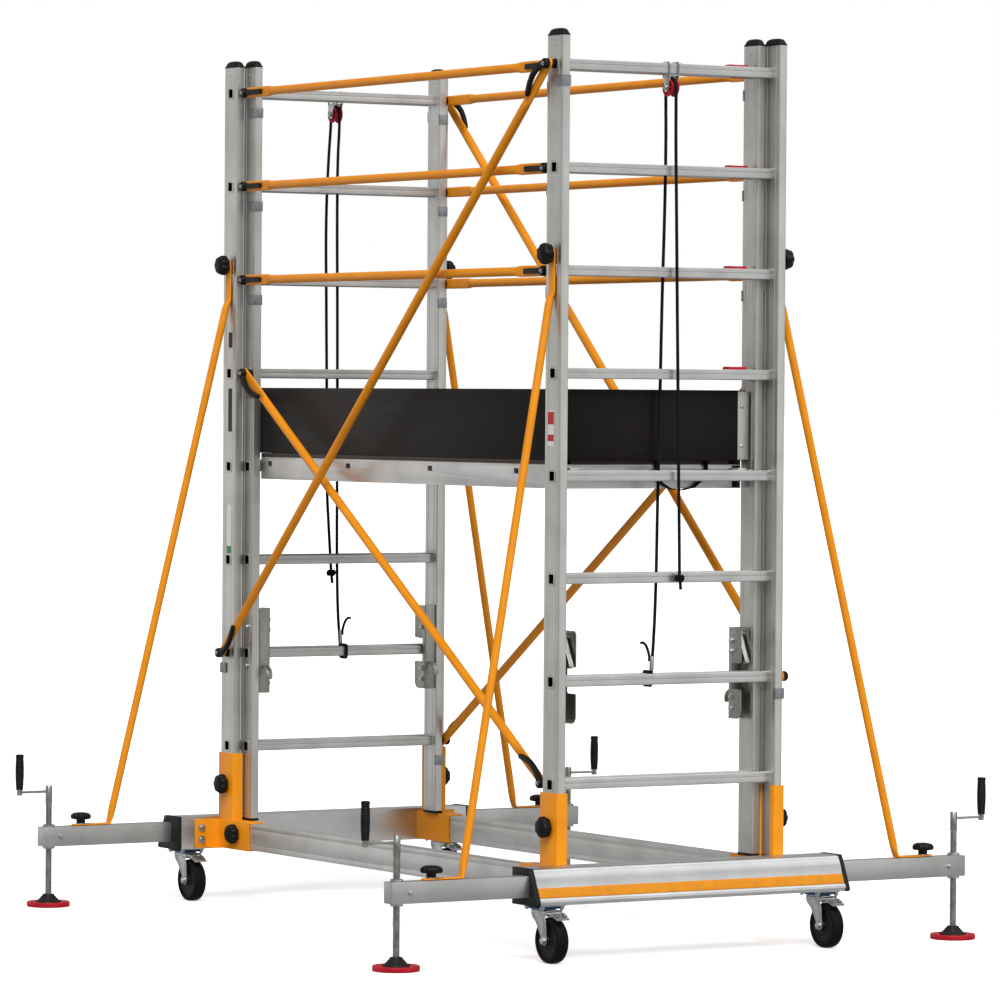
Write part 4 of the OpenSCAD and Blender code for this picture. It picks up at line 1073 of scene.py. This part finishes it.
def make_foot(name, corner):
    here = mirror_to(corner) @ Matrix.Translation((ARM_X, JACK_Y, 0))
    disc = turned([(0, 0), (FOOT_R - 3, 0), (FOOT_R - 0.6, 1), (FOOT_R, 3), (FOOT_R, 12), (FOOT_R - 1, 14.6),
                   (FOOT_R - 4, 15), (FOOT_R - 5.4, 13.4), (FOOT_R - 8, 12.4), (36, 12.8), (0, 13)], 64)
    cone = turned([(10.2, 12.6), (38, 12.6), (38.6, 14), (37, 17.5), (32, 19.5), (29.6, 20.4), (27.4, 24),
                   (24, 26), (22.4, 30), (18.6, 32), (17.2, 36.2), (15.6, 37), (10.2, 37)], 56, True)
    studs = [rod((48 * math.cos(a), 48 * math.sin(a), 12.2), (48 * math.cos(a), 48 * math.sin(a), 14.2), 3.2,
                 16, 0.8) for a in [math.tau * i / 6 for i in range(6)]]
    piece(f"jack_foot_{name}", {RED: [moved(disc, here)] + [moved(stud, here) for stud in studs],
                                GREY_PLASTIC: [moved(cone, here)]},
          f"foot_{name}", [f"foot_{name}"], 30)


def make_strut(name, corner):
    """Bent tube: a long upright tab on the stile, a straight run, and a flat tab under the lower knob."""
    here = mirror_to(corner)
    tab_y = YO + 4.75
    low_z = ARM_TOP + 3
    end_y = high(f"strut_{name}").y if corner[1] > 0 else -low(f"strut_{name}").y
    bend = Vector((ARM_X, 712, low_z + 6))
    top = Vector((XO, YO + 11, STRUT_PIN - 116))
    run = (bend - top).normalized()
    stations = []
    for angle in (8, 30, 55, 90):
        stations.append(((XO, tab_y, STRUT_PIN + 15 * math.cos(math.radians(angle))),
                         (30 * math.sin(math.radians(angle)), 5.5, 3.6)))
    stations += [((XO, tab_y, STRUT_PIN - 30), (30, 5.5, 3.6)), ((XO, tab_y, STRUT_PIN - 70), (30, 5.7, 3.6)),
                 ((XO, tab_y + 0.3, STRUT_PIN - 102), (30, 6.2, 3.3)),
                 ((XO, tab_y + 2.6, STRUT_PIN - 112), (28, 10.5, 2.6)), (top + run * 5, (24, 17, 2.1)),
                 (top + run * 22, (22, 22, 2)), (bend - run * 36, (22, 22, 2)),
                 (bend - run * 22, (23.6, 19, 2.1)),
                 (bend - run * 9, (27, 12, 2.5)), (bend + Vector((0, 3, -5)), (29.4, 7, 3)),
                 (bend + Vector((0, 12, -6)), (30, 5, 3.6)),
                 ((ARM_X, end_y - 14, low_z), (30, 5, 3.6)), ((ARM_X, end_y - 5, low_z), (24, 5, 3.6)),
                 ((ARM_X, end_y - 0.6, low_z), (10, 5, 3.4))]
    tube = swept([p for p, _ in stations], [oval(w, t, 24, f) for _, (w, t, f) in stations], (1, 0, 0))
    head = shifted(hand_knob(34, 31, 13, 0.3), ARM_X, 807, low_z + 2.5)
    washer = rod((ARM_X, 807, low_z + 2), (ARM_X, 807, low_z + 4.4), 14, 32, 0.4)
    piece(f"side_strut_{name}", {YELLOW: [moved(tube, here)], BLACK: [moved(head, here)],
                                 ZINC: [moved(washer, here)]},
          f"strut_{name}", [f"strut_{name}"], 50)


for name, corner in CORNERS.items():
    make_arm(name, corner)
    make_spindle(name, corner)
    make_foot(name, corner)
    make_strut(name, corner)

# ---------------------------------------------------------------- castors


def make_fork(name, corner):
    """Swivel head with its ball race, two pressed cheeks, axle and pedal pin."""
    here = Matrix.Translation((corner[0] * CASTOR_X, corner[1] * CASTOR_Y, 0))
    trail = AXLE.x - CASTOR_X
    head = turned([(r, PLATE_LOW - down) for r, down in ((0, 13), (26, 13), (31, 11.4), (33, 8), (33, 5.4),
                                                         (30.4, 3.6), (28, 0.4), (0, 0.4))], 48)
    crown_z = PLATE_LOW - 12
    cheek_outline = [(-27, crown_z), (-27, crown_z - 12), (-22, crown_z - 20), (-4, crown_z - 34),
                     (trail - 13, AXLE.z + 4), (trail - 12, AXLE.z - 6), (trail - 5, AXLE.z - 12),
                     (trail + 5, AXLE.z - 12), (trail + 12, AXLE.z - 5), (trail + 12.5, AXLE.z + 6),
                     (trail + 6, crown_z - 26), (trail - 1, crown_z - 14), (trail - 1, crown_z)]
    cheek = plate([(x, z) for x, z in cheek_outline], 3, 0.9)
    gap = WHEEL_W / 2 + 4
    cheeks = [moved(cheek, Matrix.Translation((0, -gap, 0)) @ UPRIGHT),
              moved(cheek, Matrix.Translation((0, gap + 3, 0)) @ UPRIGHT)]
    bridge = block((-27, -gap - 3, crown_z - 4), (trail - 1, gap + 3, crown_z + 0.4), 1.6)
    rib = block((-16, -gap - 4, crown_z - 9), (18, gap + 4, crown_z - 6), 1.2)
    axle = rod((trail, -gap - 6, AXLE.z), (trail, gap + 6, AXLE.z), 5)
    parts = [head, bridge, rib, axle] + cheeks
    for side in (1, -1):
        parts += bolt((trail, side * (gap + 3), AXLE.z), (0, side, 0), 17, 7, 22)
        parts.append(block((28, side * 24 - 1.5, PEDAL_Z - 6), (52, side * 24 + 1.5, PEDAL_Z + 8), 1.2))
    parts.append(rod((PEDAL_X, -26, PEDAL_Z), (PEDAL_X, 26, PEDAL_Z), 2.5, 16, 0.4))
    parts += [rod((0, 0, PLATE_LOW - 16.5), (0, 0, PLATE_LOW - 12.8), 11, 6, 0.8)]
    piece(f"castor_fork_{name}", {ZINC: [moved(part, here) for part in parts]}, f"fork_{name}",
          [f"fork_{name}"])


def make_wheel(name, corner):
    """Tyre on a moulded disc centre with shallow rings and a raised hub."""
    spot = Matrix.Translation((corner[0] * CASTOR_X + AXLE.x - CASTOR_X, corner[1] * CASTOR_Y, AXLE.z))
    here = spot @ UPRIGHT
    half = WHEEL_W / 2
    tread = [(WHEEL_R - 15, 2 - half), (WHEEL_R - 12, -half), (WHEEL_R - 6, -half), (WHEEL_R - 2.2, 3 - half),
             (WHEEL_R - 0.5, 8 - half), (WHEEL_R, -6)]
    tyre = turned(tread + [(r, -z) for r, z in reversed(tread)], 64, True)
    face = [(5.05, 2), (13, 2), (14.4, 0.6), (15, -2.4), (22, -3), (23, -4.2), (WHEEL_R - 26, -4.4),
            (WHEEL_R - 25, -3.2), (WHEEL_R - 19, -3), (WHEEL_R - 18, -4.2), (WHEEL_R - 14.6, -4.2)]
    centre = turned([(r, -half - z) for r, z in face] + [(r, half + z) for r, z in reversed(face)], 64, True)
    piece(f"castor_wheel_{name}", {TYRE: [moved(tyre, here)], BLACK: [moved(centre, here)]},
          f"wheel_{name}", [f"wheel_{name}"], 40)


def make_pedal(name, corner):
    """Brake pedal: side arms on a cross tube, a notched upper block and a bright lower tread."""
    here = Matrix.Translation((corner[0] * CASTOR_X + PEDAL_X, corner[1] * CASTOR_Y, PEDAL_Z))
    tilt = Matrix.Translation((26, 0, -5)) @ Matrix.Rotation(math.radians(22), 4, "Y")
    pivot = turned([(2.55, -22), (6, -22), (6, 22), (2.55, 22)], 28, True)
    pivot = moved(pivot, UPRIGHT)
    steel = [pivot] + [block((0, side * 16 - 2, -5), (30, side * 16 + 2, 4), 1.2) for side in (1, -1)]
    steel.append(moved(block((0, -20, 0), (26, 20, 4), 1.4), tilt))
    steel.append(moved(block((21, -19, 3), (25, 19, 7), 1.4), tilt))
    dark = [moved(block((0, side * 13 - 5.5, 3.6), (15, side * 13 + 5.5, 9), 1.6), tilt) for side in (1, -1)]
    dark.append(moved(block((0, -9, 3.6), (8, 9, 6.6), 1), tilt))
    piece(f"brake_pedal_{name}", {ZINC: [moved(part, here) for part in steel],
                                  DULL_ZINC: [moved(part, here) for part in dark]},
          f"pedal_{name}", [f"pedal_{name}"])


for name, corner in CORNERS.items():
    make_fork(name, corner)
    make_wheel(name, corner)
    make_pedal(name, corner)

# ---------------------------------------------------------------- hoist pulleys


def make_hangers():
    """Wire stirrups over the top rung, a thin bar along it, and the block's tapered cheeks on its axle."""
    top = rung_z(RUNG_COUNT)
    half = SHEAVE_W / 2 + 2.5
    side_x, over = RUNG / 2 + 2.8, top + RUNG / 2 + 3.2
    steel = []
    for side in (1, -1):
        y = SHEAVE.y + side * half
        cheek = plate([(-8, SHEAVE.z - 9), (-5, SHEAVE.z - 13), (5, SHEAVE.z - 13), (8, SHEAVE.z - 9),
                       (17, top - 24), (17, top - 17.5), (-17, top - 17.5), (-17, top - 24)], 3, 0.7)
        place = Matrix.Translation((XO, y + 1.5, 0)) @ UPRIGHT
        steel.append(moved(cheek, place))
        hoop = [(XO - side_x, y, top - 22)] + arc((XO - side_x + 4, y, over - 4), 4, 180, 90, 4)
        hoop += arc((XO + side_x - 4, y, over - 4), 4, 90, 0, 4) + [(XO + side_x, y, top - 22)]
        steel.append(wire(hoop, 2.2, (0, 1, 0)))
        steel += bolt((XO, y + side * 1.5, SHEAVE.z), (0, side, 0), 12, 4.5, 17)
    steel.append(block((XO - 9, SHEAVE.y - 29, top + 14.6), (XO + 9, SHEAVE.y + 29, top + 16.4), 0.7))
    steel.append(rod((XO, SHEAVE.y - half - 1, SHEAVE.z), (XO, SHEAVE.y + half + 1, SHEAVE.z), 4))
    steel.append(block((XO - 17, SHEAVE.y - half - 1.5, top - 20),
                       (XO + 17, SHEAVE.y + half + 1.5, top - 17.4), 0.8))
    piece("pulley_hangers_steel", {ZINC: both_ends(*steel)}, "base", ["pulley_hangers"])


def make_sheave(name, side):
    """Grooved sheave with five spokes standing proud of a thin web."""
    groove_top = SHEAVE_R - 3
    half = SHEAVE_W / 2
    flank = [(groove_top - 13, 4 - half), (groove_top - 5, 1 - half), (groove_top - 1, -half),
             (groove_top, 1 - half), (groove_top - 0.6, 3 - half), (groove_top - 9.6, -4.7)]
    rim = turned(flank + [(groove_top - 10.4, 0)] + [(r, -z) for r, z in reversed(flank)], 56, True)
    hub = turned([(4.05, -half), (8, -half), (8.8, 1 - half), (8.8, half - 1), (8, half), (4.05, half)],
                 32, True)
    web = turned([(8, -3), (groove_top - 12, -3), (groove_top - 12, 3), (8, 3)], 40, True)
    spokes = [moved(block((7, -2, -half + 3), (groove_top - 11, 2, half - 3), 0.8),
                    Matrix.Rotation(math.tau * i / 5, 4, "Z")) for i in range(5)]
    here = Matrix.Translation((side * XO, side * SHEAVE.y, SHEAVE.z)) @ UPRIGHT
    piece(f"hoist_{name}", {RED: [moved(part, here) for part in [rim, hub, web] + spokes]}, name, [name],
          40)


make_hangers()
make_sheave("sheave_right", 1)
make_sheave("sheave_left", -1)

# ---------------------------------------------------------------- latches


def make_latch_housings():
    """Folded channel notched round the rung, with its bolts and curved tongue."""
    steel, sheet = [], []
    y_in = YI - STILE_W - LATCH_IN
    side = [(-31, -119)] + [(x, z) for x, _, z in arc((7, 0, -97), 22, 270, 360, 6)]
    side += [(29, -40), (25, -36), (-12, -36), (-16, -32), (-16, 32), (-12, 36), (25, 36), (29, 40),
             (29, 128), (21, 136), (-31, 136)]
    for y in (y_in + 3, y_in + LATCH_IN):
        sheet += in_corners(moved(plate(side, 3, 0.7), Matrix.Translation((XI, y, LATCH_Z)) @ UPRIGHT))
    sheet += in_corners(block((XI - 31, y_in + 0.5, LATCH_Z - 119),
                              (XI - 28, y_in + LATCH_IN - 0.5, LATCH_Z + 136), 0.6))
    pin = Vector((XI - 12, y_in, LATCH_Z + 118))
    steel += in_corners(rod(pin - Vector((0, 1.5, 0)), pin + Vector((0, LATCH_IN - 0.5, 0)), 5, 28, 0.4))
    for z in (-90, -58, 70, 100):
        steel += in_corners(*bolt((XI - 15, y_in, LATCH_Z + z), (0, -1, 0), 13, 6, 20))
    for z in (-38, 79):
        steel += in_corners(*bolt((XI - 6, YI, LATCH_Z + z), (0, 1, 0), 13, 5, 17))
    tongue = swept([(XI - 30, y_in + 19, LATCH_Z - 38), (XI - 46, y_in + 19, LATCH_Z - 40),
                    (XI - 59, y_in + 19, LATCH_Z - 47), (XI - 66, y_in + 19, LATCH_Z - 58),
                    (XI - 68, y_in + 19, LATCH_Z - 70), (XI - 67, y_in + 19, LATCH_Z - 76)],
                   [oval(w, 4.4, 16, 3) for w in (20, 20, 19, 18, 16, 10)], (0, 1, 0))
    sheet += in_corners(tongue)
    piece("latch_housings_folded", {GALVANISED: sheet, ZINC: steel}, "fly_frame", ["latch_housings"])


def make_latch(name, corner):
    """Pawl: an eye on the pin and a flat bar that leans out towards the outer rung."""
    pin = Vector((XI - 12, YI - STILE_W - LATCH_IN / 2, LATCH_Z + 118))
    outline = [(x, z) for x, _, z in arc((0, 0, 0), 11, 20, 160, 8)]
    outline += [(-8, -6), (-7.5, -40), (-6.5, -78), (-7, -92), (7, -92), (7, -78), (7.5, -40), (8.5, -6)]
    bar = plate(outline, 14, 1.2)
    bar = moved(bar, Matrix.Translation((0, 7, 0)) @ UPRIGHT)
    eye = moved(turned([(5.05, -8), (11, -8), (11.6, -7), (11.6, 7), (11, 8), (5.05, 8)], 36, True),
                UPRIGHT)
    here = mirror_to(corner) @ Matrix.Translation(pin) @ Matrix.Rotation(math.radians(-27), 4, "Y")
    piece(f"latch_pawl_{name}", {ZINC: [moved(bar, here), moved(eye, here)]}, f"latch_{name}",
          [f"latch_{name}"])


make_latch_housings()
for name, corner in CORNERS.items():
    make_latch(name, corner)

# ---------------------------------------------------------------- platform


def make_platform():
    softened("platform_frame", ALUMINIUM_X, 0.5)
    softened("deck_boards", DECK_FILM, 0.8)
    softened("hatch", DECK_FILM, 0.8)
    base = DECK_TOP + 0.3
    boards, metal = [], []
    side_board = block((-TOE_X + 32, TOE_Y - TOE_T, base), (TOE_X - 32, TOE_Y, TOE_TOP), 1.6)
    end_board = block((TOE_X - TOE_T / 2, -TOE_Y + 6, base), (TOE_X + TOE_T / 2, TOE_Y - 6, TOE_TOP), 1.6)
    boards += both_ends(side_board, end_board)
    post = block((TOE_X - 39, TOE_Y - 26, base), (TOE_X - 9, TOE_Y - 2, TOE_TOP - 8), 2)
    boards += in_corners(post)
    angle = [(TOE_X - 34, TOE_Y + 0.2), (TOE_X - 34, TOE_Y + 2), (TOE_X + 10.8, TOE_Y + 2),
             (TOE_X + 10.8, TOE_Y - 34), (TOE_X + 9.2, TOE_Y - 34), (TOE_X + 9.2, TOE_Y + 0.2)]
    metal += both_sides(shifted(plate(angle, 190, 0.4), z=base + 2))
    for z in (40, 150):
        metal += both_sides(dome_screw((TOE_X - 20, TOE_Y + 2, base + z), (0, 1, 0), 6))
        metal += both_sides(dome_screw((TOE_X + 10.8, TOE_Y - 20, base + z), (1, 0, 0), 6))
    piece("toe_board_panels", {FILM_PLY: boards, ALUMINIUM_Z: metal}, "fly_frame", ["toe_boards"])


def make_strap():
    """Webbing loop that holds the end toe board, hanging below the deck's end."""
    x = TOE_X - 20
    path = [(x, 14, DECK_TOP + 2), (x + 2, 16, DECK_TOP - 30), (x + 3, 30, DECK_TOP - 62),
            (x + 3, 62, DECK_TOP - 80), (x + 3, 100, DECK_TOP - 82), (x + 3, 138, DECK_TOP - 74),
            (x + 2, 168, DECK_TOP - 52), (x + 2, 180, DECK_TOP - 26), (x, 181, DECK_TOP + 2)]
    band = swept(path, [oval(22, 2.6, 16, 4)] * len(path), (1, 0, 0))
    piece("deck_strap", {STRAP: [band]}, "fly_frame")


make_platform()
make_strap()

# ---------------------------------------------------------------- labels


def make_labels():
    """Blank warning and rating labels: plain fields of colour, with no lettering."""
    front = -YO - 0.25

    def film(x, z, width, height, y=front, thick=0.35):
        return block((x - width / 2, y - thick, z - height / 2), (x + width / 2, y, z + height / 2), 0.1, 1)

    dark = [film(-XO + 6, 1480, 22, 130), film(-XO + 6, 1690, 22, 46)]
    white = [film(XO - 8, 1440, 30, 96), film(-XO + 4, 1120, 26, 150)]
    red = [film(XO - 8, 1468, 30, 34, front - 0.3), film(XO - 8, 1414, 30, 18, front - 0.3)]
    green = [film(-XO + 4, 1060, 26, 22, front - 0.3)]
    piece("stile_labels", {LABEL_BLACK: dark, LABEL_WHITE: white, LABEL_RED: red, LABEL_GREEN: green}, "base")


make_labels()

# ---------------------------------------------------------------- floor and light


def plain(name, colour, roughness, glow):
    made, _, shader = start_material(name, Roughness=roughness, Specular_IOR_Level=0.0,
                                     Emission_Strength=glow)
    shader.inputs["Base Color"].default_value = linear(colour)
    shader.inputs["Emission Color"].default_value = (1, 1, 1, 1)
    return made


def make_stage():
    """Pale floor, an even white room and broad lamps."""
    floor_mesh = bmesh.new()
    bmesh.ops.create_circle(floor_mesh, cap_ends=True, segments=96, radius=500)
    floor = finish_mesh("floor", floor_mesh, [plain("white_floor_paint", "#ffffff", 0.8, 0.42)], 30)
    floor.visible_diffuse = floor.visible_glossy = floor.visible_transmission = False
    world = bpy.data.worlds.new("soft_white_room")
    world.use_nodes = True
    room = world.node_tree
    ray = put(room, "ShaderNodeLightPath")
    # The room lights the object softly and is seen as plain white.
    strength = put(room, "ShaderNodeMapRange", {"Value": ray.outputs["Is Camera Ray"], "To Min": 0.42,
                                                "To Max": 1.0})
    room.nodes["Background"].inputs["Color"].default_value = (1, 1, 1, 1)
    room.links.new(strength.outputs["Result"], room.nodes["Background"].inputs["Strength"])
    bpy.context.scene.world = world
    sun = bpy.data.lights.new("key", "SUN")
    sun.energy = 2.5
    sun.angle = math.radians(40)
    lamps = [(sun, (6.0, -3.5, 7.2), (0, 0, 0))]
    for name, place, aim, size, power in (("over", (3.0, 3.6, 5.6), (0.6, 0, 0.4), 5.0, 75),
                                          ("right", (6.6, 3.6, 1.4), (0.9, 0, 1.2), 4.6, 38),
                                          ("left", (-6.6, -3.8, 1.4), (0, -0.4, 1.2), 4.6, 30)):
        area = bpy.data.lights.new(name, "AREA")
        area.shape, area.size, area.energy = "DISK", size, power
        lamps.append((area, place, aim))
    for light, place, aim in lamps:
        lamp = bpy.data.objects.new(light.name, light)
        lamp.location = place
        lamp.rotation_euler = (Vector(aim) - Vector(place)).to_track_quat("-Z", "Y").to_euler()
        lamp.visible_camera = False
        bpy.context.scene.collection.objects.link(lamp)
    bpy.context.scene.view_settings.view_transform = "Standard"


make_stage()
